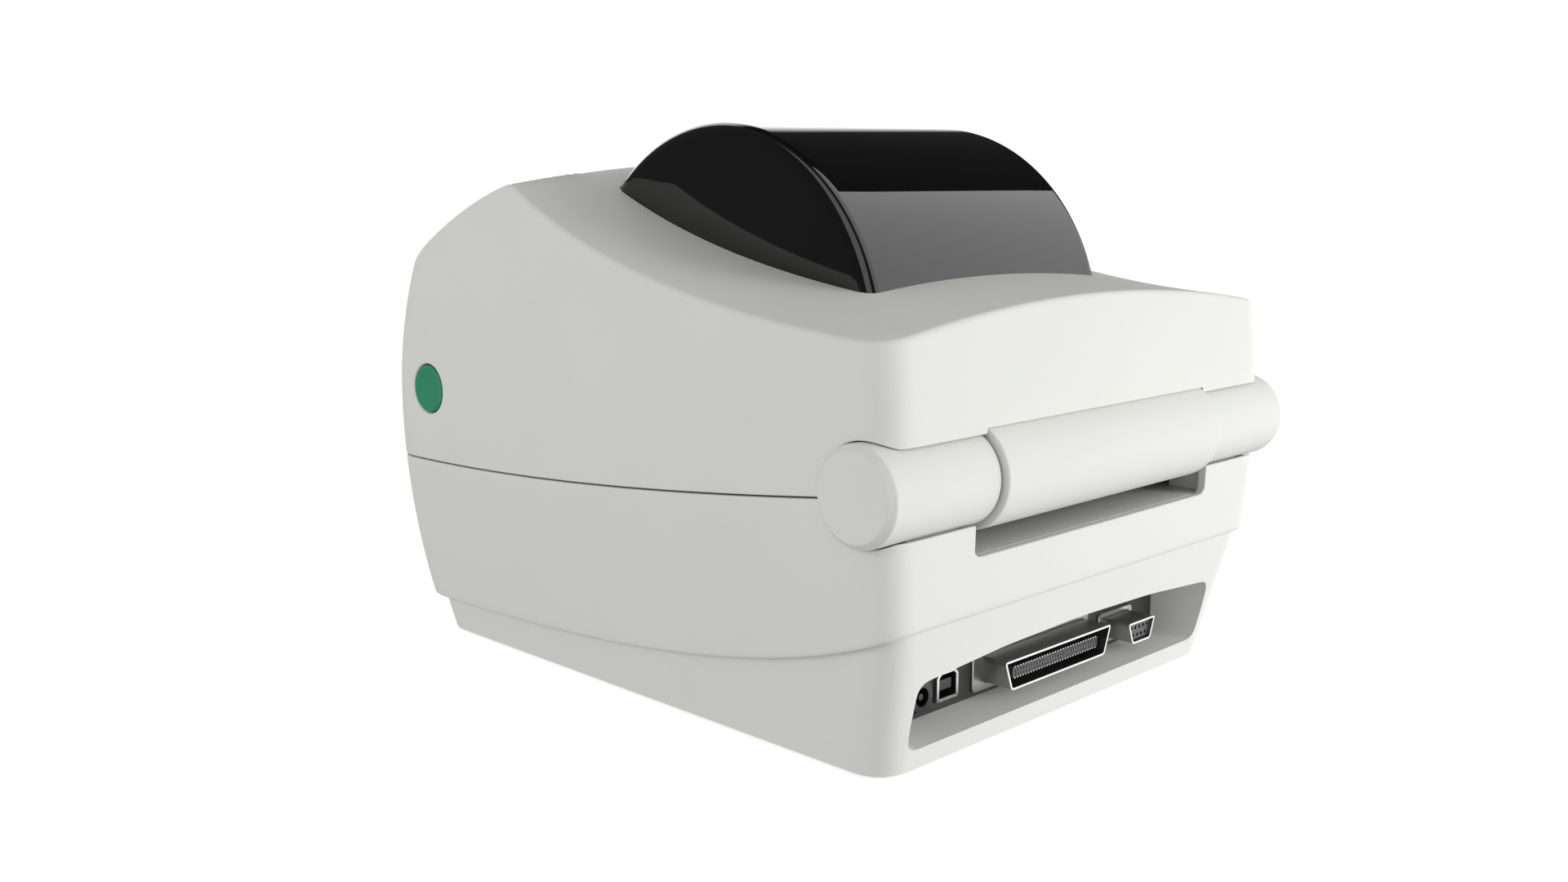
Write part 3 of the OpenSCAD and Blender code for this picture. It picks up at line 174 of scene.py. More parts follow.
def make_finishes(colours):
    case, window, green = (tuple(getattr(colours, n)) for n in ("case", "window", "buttons"))
    chassis, panel = tuple(colours.chassis), tuple(colours.panel)
    # ABS blend moulded against a spark-eroded tool: a soft, even matte skin. Its grit of 0.2 mm is drawn at
    # 0.5 mm, because finer grit would not show.
    finish("abs_moulded_light_grey", "case_plastic", shade(case, 1.03), shade(case, 0.94), 0.5,
           (0.5, 0.66), 0.02, mottle=40)
    # Smoke-tinted polycarbonate from a polished tool: near black with a deep, wet gloss and sharp mirroring.
    finish("polycarbonate_polished_smoke", "window_plastic", shade(window, 1.2), shade(window, 0.8), 25,
           (0.02, 0.045), ior=1.58, **{"Coat Weight": 0.3, "Coat Roughness": 0.02})
    # ABS moulded in green with a satin skin: a soft highlight rolls over the dished faces.
    finish("abs_satin_green", "green_plastic", shade(green, 1.08), shade(green, 0.9), 0.7, (0.24, 0.34),
           0.004)
    # Glass-filled ABS, moulded with a fine texture: charcoal, slightly uneven in gloss.
    finish("abs_moulded_charcoal", "chassis_plastic", shade(chassis, 1.15), shade(chassis, 0.85), 0.6,
           (0.45, 0.62), 0.02, mottle=25)
    # Polypropylene panel moulded with a coarse texture of 0.4 mm: a dull dark grey.
    finish("polypropylene_moulded_grey", "panel_plastic", shade(panel, 1.15), shade(panel, 0.85), 0.4,
           (0.55, 0.7), 0.03)
    # PBT polyester as used for sockets: black, satin, with faint flow marks along the mould.
    finish("polyester_moulded_black", "black_plastic", "#1D1D1E", "#121213", 1.2, (0.35, 0.5), 0.006,
           stretch=(1, 4, 1))
    # The same polyester, filled and mid grey, as used for contact carriers: a dull face round each contact.
    finish("polyester_moulded_grey", "black_plastic", "#3E3E40", "#343436", 1.2, (0.45, 0.6), 0.006,
           stretch=(1, 4, 1))
    # Acetal, natural colour, moulded: waxy off-white with a soft sheen.
    finish("acetal_moulded_natural", "gear_plastic", "#EFEDE4", "#E2DFD2", 2.0, (0.3, 0.4), 0.004,
           **{"Subsurface Weight": 0.1, "Subsurface Radius": (0.002, 0.002, 0.0015)})
    # Moulded natural rubber: near black and dull, with a dusty bloom.
    finish("rubber_moulded_black", "rubber", "#252525", "#161616", 0.8, (0.75, 0.9), 0.03)
    # Silicone rubber ground round its axis: dark grey with fine rings 0.4 mm apart along the roller.
    finish("silicone_rubber_ground", "platen_rubber", "#3A3B3D", "#2A2B2D", 0.4, (0.6, 0.75), 0.02,
           stretch=(1, 20, 20))
    # Nickel-plated drawn steel: bright, warm grey, softened reflections with draw marks along the shell.
    finish("nickel_plated_steel", "plated_steel", "#B4B4B2", "#A4A4A2", 0.5, (0.26, 0.34), 0.0015,
           stretch=(8, 1, 8), metallic=1.0)
    # Zinc-plated turned steel: bluish grey, satin, with turning marks.
    finish("zinc_plated_steel", "steel", "#C3C6C9", "#A3A7AB", 0.4, (0.25, 0.4), 0.006,
           stretch=(4, 4, 1), metallic=1.0)
    # Free-cutting brass, machined: warm yellow with cutter marks.
    finish("brass_machined", "brass", "#D9B36A", "#C29A52", 0.4, (0.22, 0.34), 0.006,
           stretch=(6, 1, 1), metallic=1.0)
    # Aluminium extrusion, bead-blasted and anodised clear: pale grey with fine lines along the length.
    finish("aluminium_anodised_clear", "aluminium", "#D0D2D4", "#B9BBBE", 0.35, (0.32, 0.45), 0.006,
           stretch=(40, 1, 1), metallic=1.0)
    # Alumina ceramic strip under a glass glaze: tan with a hard gloss.
    finish("alumina_glazed", "ceramic", "#D3C39B", "#B9A67B", 3.0, (0.08, 0.16), ior=1.6)
    # Epoxy glass board under green solder mask: glossy, with the weave of 0.6 mm faintly showing.
    finish("glass_epoxy_solder_masked", "board", "#1E6B3C", "#0F4A27", 0.6, (0.2, 0.35), 0.01)
    # PVC cable jacket, extruded: dark grey, slightly sheened, smooth along its length.
    finish("vinyl_extruded_grey", "cable", "#333335", "#242426", 1.5, (0.4, 0.5), 0.004)
    # Diffused acrylic light pipe: milky pale green with a polished face.
    finish("acrylic_diffused_green", "lens", "#BFEBC4", "#A4DBAB", 2.0, (0.12, 0.2),
           **{"Subsurface Weight": 0.3, "Subsurface Radius": (0.002, 0.003, 0.002)})


# ---------------------------------------------------------------- mesh helpers

def bezier(t, start, middle, end):
    """The value or point at share t of a quadratic curve."""
    return start * (1 - t) ** 2 + middle * (2 * t * (1 - t)) + end * t ** 2


def piece(name, part, finish_name, body, *replaced):
    """Makes one closed piece from points in millimetres, rides it on its body and names its finish."""
    mesh = bpy.data.meshes.new(name)
    mesh.from_pydata([Vector(v) * MM for v in part[0]], [], part[1])
    return dress(bpy.data.objects.new(name, mesh), finish_name, body, replaced)


def tidy_mesh(mesh, sharp):
    """Faces point outwards, and only edges steeper than sharp degrees stay crisp."""
    bm = bmesh.new()
    bm.from_mesh(mesh)
    bmesh.ops.recalc_face_normals(bm, faces=bm.faces)
    for face in bm.faces:
        face.smooth = True
    limit = math.radians(sharp)
    for edge in bm.edges:
        edge.smooth = len(edge.link_faces) == 2 and edge.calc_face_angle(0) < limit
    bm.to_mesh(mesh)
    bm.free()


def shade_evenly(thing, sharp=35):
    tidy_mesh(thing.data, sharp)
    normals = thing.modifiers.new("Even shading", "WEIGHTED_NORMAL")
    normals.keep_sharp = True


def dress(thing, finish_name, body, replaced, sharp=35):
    """Gives a piece its shading, finish and body, and hides the CAD nodes that it stands for."""
    if thing.name not in bpy.context.scene.collection.objects:
        bpy.context.scene.collection.objects.link(thing)
    material = FINISHES[finish_name]
    thing.data.materials.clear()
    thing.data.materials.append(material)
    shade_evenly(thing, sharp)
    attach(thing, body)
    if replaced:
        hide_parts(*replaced)
    return thing


def baked(thing):
    """Replaces a piece's mesh with the result of its modifiers."""
    graph = bpy.context.evaluated_depsgraph_get()
    graph.update()
    mesh = bpy.data.meshes.new_from_object(thing.evaluated_get(graph))
    thing.modifiers.clear()
    thing.data = mesh
    return thing


def loft(rings, close_along=False, caps=False):
    """Joins closed rings of equal length with quads."""
    n, m = len(rings[0]), len(rings)
    verts = [p for ring in rings for p in ring]
    faces = []
    for i in range(m if close_along else m - 1):
        a, b = i * n, (i + 1) % m * n
        faces += [(a + j, a + (j + 1) % n, b + (j + 1) % n, b + j) for j in range(n)]
    if caps:
        faces.append(tuple(range(n)))
        faces.append(tuple(range((m - 1) * n, m * n)))
    return verts, faces


def joined(*parts):
    """Several point and face lists as one."""
    verts, faces = [], []
    for v, f in parts:
        faces += [tuple(i + len(verts) for i in face) for face in f]
        verts += list(v)
    return verts, faces


def placed(part, matrix):
    """Points and faces moved by a matrix."""
    return [matrix @ Vector(v) for v in part[0]], part[1]


def lathe(profile, segments=96):
    """Turns a profile of (radius, height) points round the third axis. A point on the axis stays one point."""
    verts, faces, rows = [], [], []
    turns = [2 * math.pi * k / segments for k in range(segments)]
    for r, h in profile:
        if r < 1e-6:
            rows.append([len(verts)] * segments)
            verts.append((0, 0, h))
        else:
            rows.append(list(range(len(verts), len(verts) + segments)))
            verts += [(r * math.cos(a), r * math.sin(a), h) for a in turns]
    for low, high in zip(rows, rows[1:]):
        for k in range(segments):
            l = (k + 1) % segments
            face = [low[k], low[l], high[l], high[k]]
            face = [v for i, v in enumerate(face) if v != face[i - 1]]
            if len(face) > 2:
                faces.append(tuple(face))
    return verts, faces


def rounded(points, radius, steps=4):
    """A profile with its corners rounded. radius is one number or one for each point."""
    out = [points[0]]
    for i in range(1, len(points) - 1):
        r = radius if isinstance(radius, (int, float)) else radius[i]
        a, p, b = (Vector((*q, 0)) for q in points[i - 1:i + 2])
        if r <= 0:
            out.append(points[i])
            continue
        u, v = (a - p), (b - p)
        r = min(r, u.length * 0.49, v.length * 0.49)
        u, v = p + u.normalized() * r, p + v.normalized() * r
        out += [tuple(bezier(k / steps, u, p, v).xy) for k in range(steps + 1)]
    return out + [points[-1]]


def soft_outline(points, radius, steps=4):
    """A closed outline in a plane with rounded corners."""
    ring = [points[-1], *points, points[0]]
    radii = radius if isinstance(radius, (int, float)) else [0, *radius, 0]
    return rounded(ring, radii, steps)[1:-1]


def offset_outline(outline, distance):
    """Moves a closed, counter-clockwise outline outwards by distance."""
    out = []
    n = len(outline)
    for i in range(n):
        (ax, ay), (bx, by) = outline[i - 1], outline[(i + 1) % n]
        length = math.hypot(bx - ax, by - ay)
        x, y = outline[i]
        out.append((x + distance * (by - ay) / length, y - distance * (bx - ax) / length))
    return out


def cut(thing, cutters):
    """Cuts closed shapes out of a piece."""
    for verts, faces in cutters:
        mesh = bpy.data.meshes.new("cutter")
        mesh.from_pydata([Vector(v) * MM for v in verts], [], faces)
        tidy_mesh(mesh, 35)
        tool = bpy.data.objects.new("cutter", mesh)
        bpy.context.scene.collection.objects.link(tool)
        step = thing.modifiers.new("Cut", "BOOLEAN")
        step.operation, step.solver, step.object = "DIFFERENCE", "EXACT", tool
        baked(thing)
        bpy.data.objects.remove(tool)
    return thing


def refined(node, finish_name, edge, subdivide=0, name=None):
    """A copy of a CAD node with welded faces, edges rounded by some millimetres, and its finish."""
    thing = bpy.data.objects.new(name or node + "_finished", frame["nodes"][node].data.copy())
    bm = bmesh.new()
    bm.from_mesh(thing.data)
    bmesh.ops.remove_doubles(bm, verts=bm.verts, dist=2e-6)
    bmesh.ops.dissolve_limit(bm, angle_limit=math.radians(0.3), verts=bm.verts, edges=bm.edges)
    bm.to_mesh(thing.data)
    bm.free()
    if edge:
        bevel = thing.modifiers.new("Rounded edges", "BEVEL")
        bevel.width, bevel.segments, bevel.limit_method = edge * MM, 2, "ANGLE"
        bevel.angle_limit, bevel.use_clamp_overlap = math.radians(32), True
        bpy.context.scene.collection.objects.link(thing)
        baked(thing)
    if subdivide:
        smooth = thing.modifiers.new("Smooth", "SUBSURF")
        smooth.levels = smooth.render_levels = subdivide
    return dress(thing, finish_name, BODY_OF[node], (node,), 50)


# ---------------------------------------------------------------- form of the shells, in millimetres

def bow(distance, radius):
    """How far an arc of a radius falls away at a distance from its middle."""
    return radius - math.sqrt(radius * radius - distance * distance)


def on_curve(y, a, b, c):
    """Height at y of a quadratic curve through (y, z) points, level beyond its ends."""
    if y <= a[0]:
        return a[1]
    if y >= c[0]:
        return c[1]
    p, q, r = a[0] - 2 * b[0] + c[0], 2 * (b[0] - a[0]), a[0] - y
    t = -r / q if abs(p) < 1e-9 else (-q + math.sqrt(q * q - 4 * p * r)) / (2 * p)
    return bezier(t, a[1], b[1], c[1])


WIDEST_Z = 84
FRONT_CORNER, REAR_CORNER = 13, 11
HINGE_Y, HINGE_Z = 104, 81.4
KNUCKLE_CUT, SLEEVE_CUT, SLEEVE_CUT_HALF = 13.96, 15.65, 55.3
WINDOW_Y, WINDOW_Z, WINDOW_HALF, WINDOW_GAP = 6.7, 109.6, 56, 0.25
RIDGE_Y, RIDGE_Z, RIDGE_SOFTNESS, CROWN_R = -51, 165.4, 3.0, 570
PARTING_GAP = 0.25
EXIT_HALF, EXIT_LOW, EXIT_HIGH = 58, 61.2, 70
COVER_REAR_Z, CASE_REAR_Z = 93.3, 69.2
SLOT_HALF, SLOT_Z, SLOT_CORNER = 59.5, 60.2, 3
RELEASE_Y, RELEASE_Z = -94.6, 89.1


class Form:
    """Outer form of the walls and the top, which both shells share."""

    def __init__(self, sizes):
        self.half_max = sizes.half_width / MM
        self.front_max, self.rear_max = sizes.front / MM, sizes.rear / MM
        self.wall, self.top_edge, self.rim = sizes.wall / MM, sizes.top_edge / MM, sizes.rim_edge / MM
        self.window_r, self.window_rim = sizes.window_radius / MM, sizes.window_rim / MM

    def half(self, z):
        return self.half_max - bow(z - WIDEST_Z, 336 if z < WIDEST_Z else 560)

    def front_y(self, z):
        return bow(z - WIDEST_Z, 560 if z < WIDEST_Z else 135) - self.front_max

    def rear_y(self, z):
        return self.rear_max - bow(z - WIDEST_Z, 600 if z < WIDEST_Z else 280)

    def parting(self, y):
        """Height of the line where the cover meets the case."""
        return on_curve(y, (-110, 64), (-20, 64), (96, 79.6))

    def band(self, y):
        """Height of the line where the lower case meets the bottom case."""
        return on_curve(y, (-112, 13), (41.6, 13), (111.4, 44.4))

    def side_line(self, y):
        """Height of the top along the centre, with the ridge slightly rounded."""
        start, end = RIDGE_Y - RIDGE_SOFTNESS, RIDGE_Y + RIDGE_SOFTNESS
        if start < y < end:
            return bezier((y - start) / (end - start), self.crisp_line(start), RIDGE_Z, self.crisp_line(end))
        return self.crisp_line(y)

    def crisp_line(self, y):
        start = 6.8 - self.front_max
        if y < start:
            return 134.9 + (y - start) * 0.75
        if y < RIDGE_Y:
            return on_curve(y, (start, 134.9), (RIDGE_Y - 31.6, 157.7), (RIDGE_Y, RIDGE_Z))
        return on_curve(y, (RIDGE_Y, RIDGE_Z), (RIDGE_Y + 59.7, 132.6), (self.rear_max - 0.5, 127.4))

    def top(self, x, y):
        return self.side_line(y) - bow(x, CROWN_R)

    def cover_low(self, x, y):
        """Lower edge of the cover at a place on its wall."""
        z = self.parting(y) + PARTING_GAP
        if y < -100 and abs(x) < EXIT_HALF:
            z = EXIT_HIGH
        reach = y - HINGE_Y
        if abs(reach) < KNUCKLE_CUT and y > 85:
            z = max(z, HINGE_Z + math.sqrt(KNUCKLE_CUT ** 2 - reach ** 2))
        if reach > 0:
            z = max(z, COVER_REAR_Z)
            if abs(x) < SLEEVE_CUT_HALF and reach < SLEEVE_CUT:
                z = max(z, HINGE_Z + math.sqrt(SLEEVE_CUT ** 2 - reach ** 2))
        return z

    def case_high(self, x, y):
        """Upper edge of the lower case at a place on its wall."""
        z = self.parting(y) - PARTING_GAP
        if y < -100 and abs(x) < EXIT_HALF:
            z = EXIT_LOW
        reach = y - HINGE_Y
        if abs(reach) < KNUCKLE_CUT and y > 85:
            z = min(z, HINGE_Z - math.sqrt(KNUCKLE_CUT ** 2 - reach ** 2))
        if reach > 0:
            z = min(z, CASE_REAR_Z)
            if abs(x) < SLOT_HALF:
                z = SLOT_Z + bow(max(0, abs(x) - SLOT_HALF + SLOT_CORNER), SLOT_CORNER)
        return z


def span(a, b, step):
    """Places from a up to but not including b, about a step apart."""
    count = max(1, round(abs(b - a) / step))
    return [a + (b - a) * i / count for i in range(count)]


def half_stations():
    """Places along the right half of the walls, from the middle of the front to the middle of the rear."""
    ridge = (*span(-96, -56, 4), *span(-56, -46, 0.8), *span(-46, 82, 4))
    slot_end = (62, 60.5, 59.52, 59.47, 59.3, 59, 58.5, 57.8, 57, 55.35, 55.25, 52)
    return [
        *(("front", x, 0) for x in (*span(0, 56, 8), 56, 57.95, 58.05, 60, 62)),
        *(("front", 62, q) for q in (0.35, 0.7)),
        *(("corner_front", 0, t / 10) for t in range(11)),
        *(("side", -96, q) for q in (-0.6, -0.3)),
        *(("side", y, 0) for y in (*ridge, *span(82, 96, 0.5), 96)),
        *(("side", 96, q) for q in (0.3, 0.6)),
        *(("corner_rear", 0, t / 14) for t in range(15)),
        *(("rear", 62, q) for q in (0.7, 0.35)),
        *(("rear", x, 0) for x in (*slot_end, *span(48, 0, 8), 0)),
    ]


def station_point(form, station, z, inset):
    """Place of a station on the wall at height z, moved inwards by inset."""
    kind, a, q = station
    w, f, b = form.half(z) - inset, form.front_y(z) + inset, form.rear_y(z) - inset
    cf, cr = FRONT_CORNER - inset, REAR_CORNER - inset
    if kind == "front":
        return a + (w - cf - a) * q, f
    if kind == "rear":
        return a + (w - cr - a) * q, b
    if kind == "side":
        return w, a + (abs(q) * ((f + cf - a) if q < 0 else (b - cr - a)))
    if kind == "corner_front":
        p0, p1, p2 = (w - cf, f), (w, f), (w, f + cf)
    else:
        p0, p1, p2 = (w, b - cr), (w, b), (w - cr, b)
    return tuple(bezier(q, *along) for along in zip(p0, p1, p2))


def settle(form, station, inset, height, start=60):
    """Finds the point on the wall whose height follows a rule of its own place."""
    z = start
    for _ in range(6):
        x, y = station_point(form, station, z, inset)
        z = height(x, y)
    return x, y, z


def mirrored_rings(rings):
    """Rings of the right half, completed with their mirror image."""
    return [ring + [(-x, y, z) for x, y, z in ring[-2:0:-1]] for ring in rings]


def shell(form, profile):
    """A wall shell: profile is a closed list of (inset, height rule) pairs."""
    stations = half_stations()
    return loft(mirrored_rings([[settle(form, s, inset, rule) for s in stations] for inset, rule in profile]),
                close_along=True)


def between(low, high, share):
    """A height rule at a share of the way from one rule to another."""
    return lambda x, y: low(x, y) + (high(x, y) - low(x, y)) * share


def raised(rule, amount):
    """A height rule raised by an amount."""
    return lambda x, y: rule(x, y) + amount


# ---------------------------------------------------------------- operators

def sizes_of(context):
    return Form(context.scene.printer_sizes)


class PRINTER_OT_lower_case(bpy.types.Operator):
    """Lower case: bowed walls between the band and the parting line, with its screw columns"""

    bl_idname = "printer.lower_case"
    bl_label = "Lower case"

    def execute(self, context):
        form = sizes_of(context)
        high, wall, r = form.case_high, form.wall, form.rim
        low = raised(lambda x, y: form.band(y), -0.2)
        start, end = raised(low, 1.3), raised(high, -r)
        profile = [(2.35, low), (1.0, low), (0.55, raised(low, 0.1)), (0.2, raised(low, 0.45))]
        profile += [(0, between(start, end, i / 18)) for i in range(19)]
        profile += [(r * (1 - math.cos(a)), raised(high, -r * (1 - math.sin(a))))
                    for a in (0.5, 1.05, math.pi / 2)]
        profile += [(wall - 0.3, high), (wall, raised(high, -0.3))]
        profile += [(wall, between(end, start, i / 6)) for i in range(1, 6)] + [(wall, raised(low, 0.2))]
        tube = lathe([(1.6, 24), (4, 24), (4, 57.7), (1.6, 57.7), (1.6, 24)], 32)
        reach = form.half_max - 17.5
        columns = [placed(tube, Matrix.Translation((x, y, 0))) for x in (-reach, reach) for y in (-58, 58)]
        piece("lower_case_shell", joined(shell(form, profile), *columns), "abs_moulded_light_grey", "base",
              "lower_case")
        return {"FINISHED"}


class PRINTER_OT_bottom_case(bpy.types.Operator):
    """Bottom case with its connector recess, and the rubber feet"""

    bl_idname = "printer.bottom_case"
    bl_label = "Bottom case"

    def execute(self, context):
        refined("bottom_case", "abs_moulded_light_grey", 0.8, name="bottom_case_tub")
        foot = lathe(rounded([(0, 0.5), (4.2, 0.5), (4.4, 0), (5.6, 0), (6, 0.9), (6, 1.8), (0, 1.8)],
                             [0, 0.1, 0.2, 0.5, 0.3, 0.1, 0]), 64)
        feet = [placed(foot, Matrix.Translation((x, y, 0))) for x in (-70, 70) for y in (-90, 72)]
        piece("foot_pads", joined(*feet), "rubber_moulded_black", "base", "rubber_feet")
        return {"FINISHED"}


def window_edge(form, x, front):
    """Place along Y where the window's drum, with its gap, meets the top at x."""
    flat = WINDOW_HALF + WINDOW_GAP - form.window_rim
    r = form.window_r + WINDOW_GAP
    if abs(x) > flat:
        r += math.sqrt(max(0, form.window_rim ** 2 - (abs(x) - flat) ** 2)) - form.window_rim
    inside, outside = WINDOW_Y, -60 if front else 100
    for _ in range(40):
        y = (inside + outside) / 2
        if (y - WINDOW_Y) ** 2 + (form.top(x, y) - WINDOW_Z) ** 2 < r * r:
            inside = y
        else:
            outside = y
    return y


def window_outline(form, stations):
    """For each wall station, the matching point on the edge of the window's opening."""
    points = [settle(form, s, form.top_edge, form.top, 130) for s in stations]
    lengths = [0]
    for p, q in zip(points, points[1:]):
        lengths.append(lengths[-1] + math.hypot(q[0] - p[0], q[1] - p[1]))
    kinds = [s[0] for s in stations]
    front_end = lengths[kinds.index("corner_front") + 5]
    rear_start = lengths[kinds.index("corner_rear") + 7]
    x_end = WINDOW_HALF + WINDOW_GAP
    y0, y1 = window_edge(form, x_end, True), window_edge(form, x_end, False)
    out = []
    for length in lengths:
        if length <= front_end:
            x = x_end * length / front_end
            out.append((x, window_edge(form, x, True)))
        elif length < rear_start:
            out.append((x_end, y0 + (y1 - y0) * (length - front_end) / (rear_start - front_end)))
        else:
            x = x_end * (lengths[-1] - length) / (lengths[-1] - rear_start)
            out.append((x, window_edge(form, x, False)))
    return points, out


FEED_X, LIGHT_X = 62, 47


def slope_matrix(x):
    """Frame on the front slope at x, and its third axis, which points out along the feed button's travel."""
    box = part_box("feed_button")
    joint = next(j for j in frame["joints"] if j["name"] == "feed_button_press")
    out = -Vector(joint["axis"]).normalized()
    centre = (box[0] + box[1]) / 2 / MM
    across = Vector((1, 0, 0))
    up = out.cross(across)
    turn = Matrix((across, up, out)).transposed().to_4x4()
    return Matrix.Translation(Vector((x, centre.y, centre.z))) @ turn, out


class PRINTER_OT_top_cover(bpy.types.Operator):
    """Top cover: bowed walls, rounded top edge, arched top and the openings for the window and buttons"""

    bl_idname = "printer.top_cover"
    bl_label = "Top cover"

    def execute(self, context):
        form = sizes_of(context)
        stations = half_stations()
        low, wall, r, e = form.cover_low, form.wall, form.rim, form.top_edge
        start, end = raised(low, r), raised(form.top, -e)
        profile = [(wall, raised(low, 0.3)), (wall - 0.3, low), (r, low), (r * 0.5, raised(low, r * 0.14)),
                   (r * 0.13, raised(low, r * 0.5))]
        profile += [(0, between(start, end, i / 20)) for i in range(21)]
        fillet = [math.pi / 2 * i / 6 for i in range(1, 7)]
        profile += [(e * (1 - math.cos(a)), raised(form.top, -e * (1 - math.sin(a)))) for a in fillet]
        rings = [[settle(form, s, inset, rule, 120) for s in stations] for inset, rule in profile]
        edge, hole = window_outline(form, stations)
        thick = wall * 1.15
        inner = [settle(form, s, wall + 1.5, form.top, 130) for s in stations]
        # Out over the top to the window's opening, and back below it
        across = [(edge, i / 14, 0) for i in range(1, 15)] + [(hole, 1, thick)]
        across += [(inner, i / 7, thick) for i in range(6, 0, -1)]
        for line, t, depth in across:
            rings.append([(x, y, form.top(x, y) - depth) for x, y in
                          ((p[0] + (h[0] - p[0]) * t, p[1] + (h[1] - p[1]) * t) for p, h in zip(line, hole))])
        rings.append([settle(form, s, wall + 1.2, raised(form.top, -thick), 130) for s in stations])
        rings.append([settle(form, s, wall, raised(form.top, -thick - 1.2), 130) for s in stations])
        for i in range(1, 8):
            rule = between(raised(form.top, -thick - 1.2), raised(low, 0.3), i / 8)
            rings.append([settle(form, s, wall, rule, 120) for s in stations])
        cover = piece("top_cover_shell", loft(mirrored_rings(rings), close_along=True),
                      "abs_moulded_light_grey", "cover", "top_cover")
        feed_bore = lathe([(0, -12), (7.3, -12), (7.3, 1.2), (8.1, 3), (0, 3)], 72)
        light_bore = lathe([(0, -12), (2.1, -12), (2.1, 2.6), (3, 4), (0, 4)], 48)
        cutters = [placed(feed_bore, slope_matrix(FEED_X)[0]), placed(light_bore, slope_matrix(LIGHT_X)[0])]
        bore = lathe([(0, -8), (8.4, -8), (8.4, -0.8), (8.55, -0.45), (8.9, -0.15), (9.8, 0.4), (0, 0.4)], 72)
        for side in (-1, 1):
            spot = Matrix.Translation((side * form.half_max, RELEASE_Y, RELEASE_Z))
            cutters.append(placed(bore, spot @ Matrix.Rotation(side * math.pi / 2, 4, "Y")))
        cut(cover, cutters)
        shade_evenly(cover)
        return {"FINISHED"}


class PRINTER_OT_roll_window(bpy.types.Operator):
    """Round roll window: a smoke drum with rounded rims"""

    bl_idname = "printer.roll_window"
    bl_label = "Roll window"

    def execute(self, context):
        form = sizes_of(context)
        r, h, rim, wall = form.window_r, WINDOW_HALF, form.window_rim, form.wall
        corner = [math.pi / 2 * i / 10 for i in range(11)]
        outer = [(r - rim + rim * math.sin(a), rim - h - rim * math.cos(a)) for a in corner]
        barrel = [(r, -h + rim + 2 * (h - rim) * i / 8) for i in range(1, 8)]
        profile = [(0, -h), (r * 0.4, -h), (r - rim - 1.5, -h), *outer, *barrel,
                   *[(q, -z) for q, z in reversed(outer)], (r - rim - 1.5, h), (r * 0.4, h), (0, h)]
        inner = [(max(0, q - wall), z * (h - wall) / h) for q, z in profile]
        turn = Matrix.Translation((0, WINDOW_Y, WINDOW_Z)) @ Matrix.Rotation(math.pi / 2, 4, "Y")
        drum, hollow = lathe(profile, 256), lathe(inner, 128)
        window = piece("smoke_window_shell", placed(drum, turn), "polycarbonate_polished_smoke", "cover",
                       "roll_window")
        # All that lies more than 6.5 mm under the cover's top line is cut away
        ys = [-130, *span(-100, 100, 5), 130]
        below = loft([[(x, y, form.side_line(max(-119, min(112, y))) - 6.5) for y in ys]
                      + [(x, y, 20) for y in reversed(ys)] for x in (-100, 100)], caps=True)
        cut(window, [placed(hollow, turn), below])
        shade_evenly(window)
        return {"FINISHED"}


class PRINTER_OT_hinge(bpy.types.Operator):
    """Hinge barrel: the turned sleeve on the cover, and the capped knuckles on the case"""

    bl_idname = "printer.hinge"
    bl_label = "Hinge barrel"

    def execute(self, context):
        form = sizes_of(context)
        along_x = Matrix.Translation((0, HINGE_Y, HINGE_Z)) @ Matrix.Rotation(math.pi / 2, 4, "Y")
        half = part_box("hinge_sleeve")[1].x / MM
        sleeve = rounded([(5.05, -half), (15.5, -half), (15.5, half), (5.05, half)], [0, 1.0, 1.0, 0], 5)
        barrel = placed(lathe([*sleeve, sleeve[0]], 128), along_x)
        # The tongue that carries the sleeve on the cover's frame
        tongue = box_part((-50, 50), (78, 92), (82.5, 85), 0.4)
        piece("hinge_sleeve_barrel", joined(barrel, tongue), "abs_moulded_light_grey", "cover",
              "hinge_sleeve")
        for side, word in ((-1, "left"), (1, "right")):
            node = "hinge_end_" + word
            end = max(abs(corner.x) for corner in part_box(node)) / MM
            start = half + 0.8
            profile = rounded([(0, start + 22), (5.0, start + 22), (5.0, start), (13.66, start),
                               (13.66, end - 1.85), (11.8, end), (0, end)], [0, 0, 0.1, 0.5, 0.5, 0.5, 0], 4)
            cap = placed(lathe(profile, 128), along_x @ Matrix.Scale(side, 4, (0, 0, 1)))
            x0, x1 = sorted((63 * side, 84 * side))
            foot = box_part((x0, x1), (HINGE_Y - 7, HINGE_Y + 5), (60.2, 72.4), 0.4)
            piece("hinge_knuckle_" + word, joined(cap, foot), "abs_moulded_light_grey", "base", node)
        return {"FINISHED"}


def box_part(x, y, z, edge=0.4):
    """A block with rounded edges, as points and faces."""
    bm = bmesh.new()
    bmesh.ops.create_cube(bm, size=1)
    for v in bm.verts:
        v.co = Vector((x[0] + (v.co.x + 0.5) * (x[1] - x[0]), y[0] + (v.co.y + 0.5) * (y[1] - y[0]),
                       z[0] + (v.co.z + 0.5) * (z[1] - z[0])))
    if edge:
        bmesh.ops.bevel(bm, geom=bm.edges, offset=edge, segments=2, profile=0.5, affect="EDGES")
    bm.verts.index_update()
    part = [tuple(v.co) for v in bm.verts], [tuple(v.index for v in f.verts) for f in bm.faces]
    bm.free()
    return part


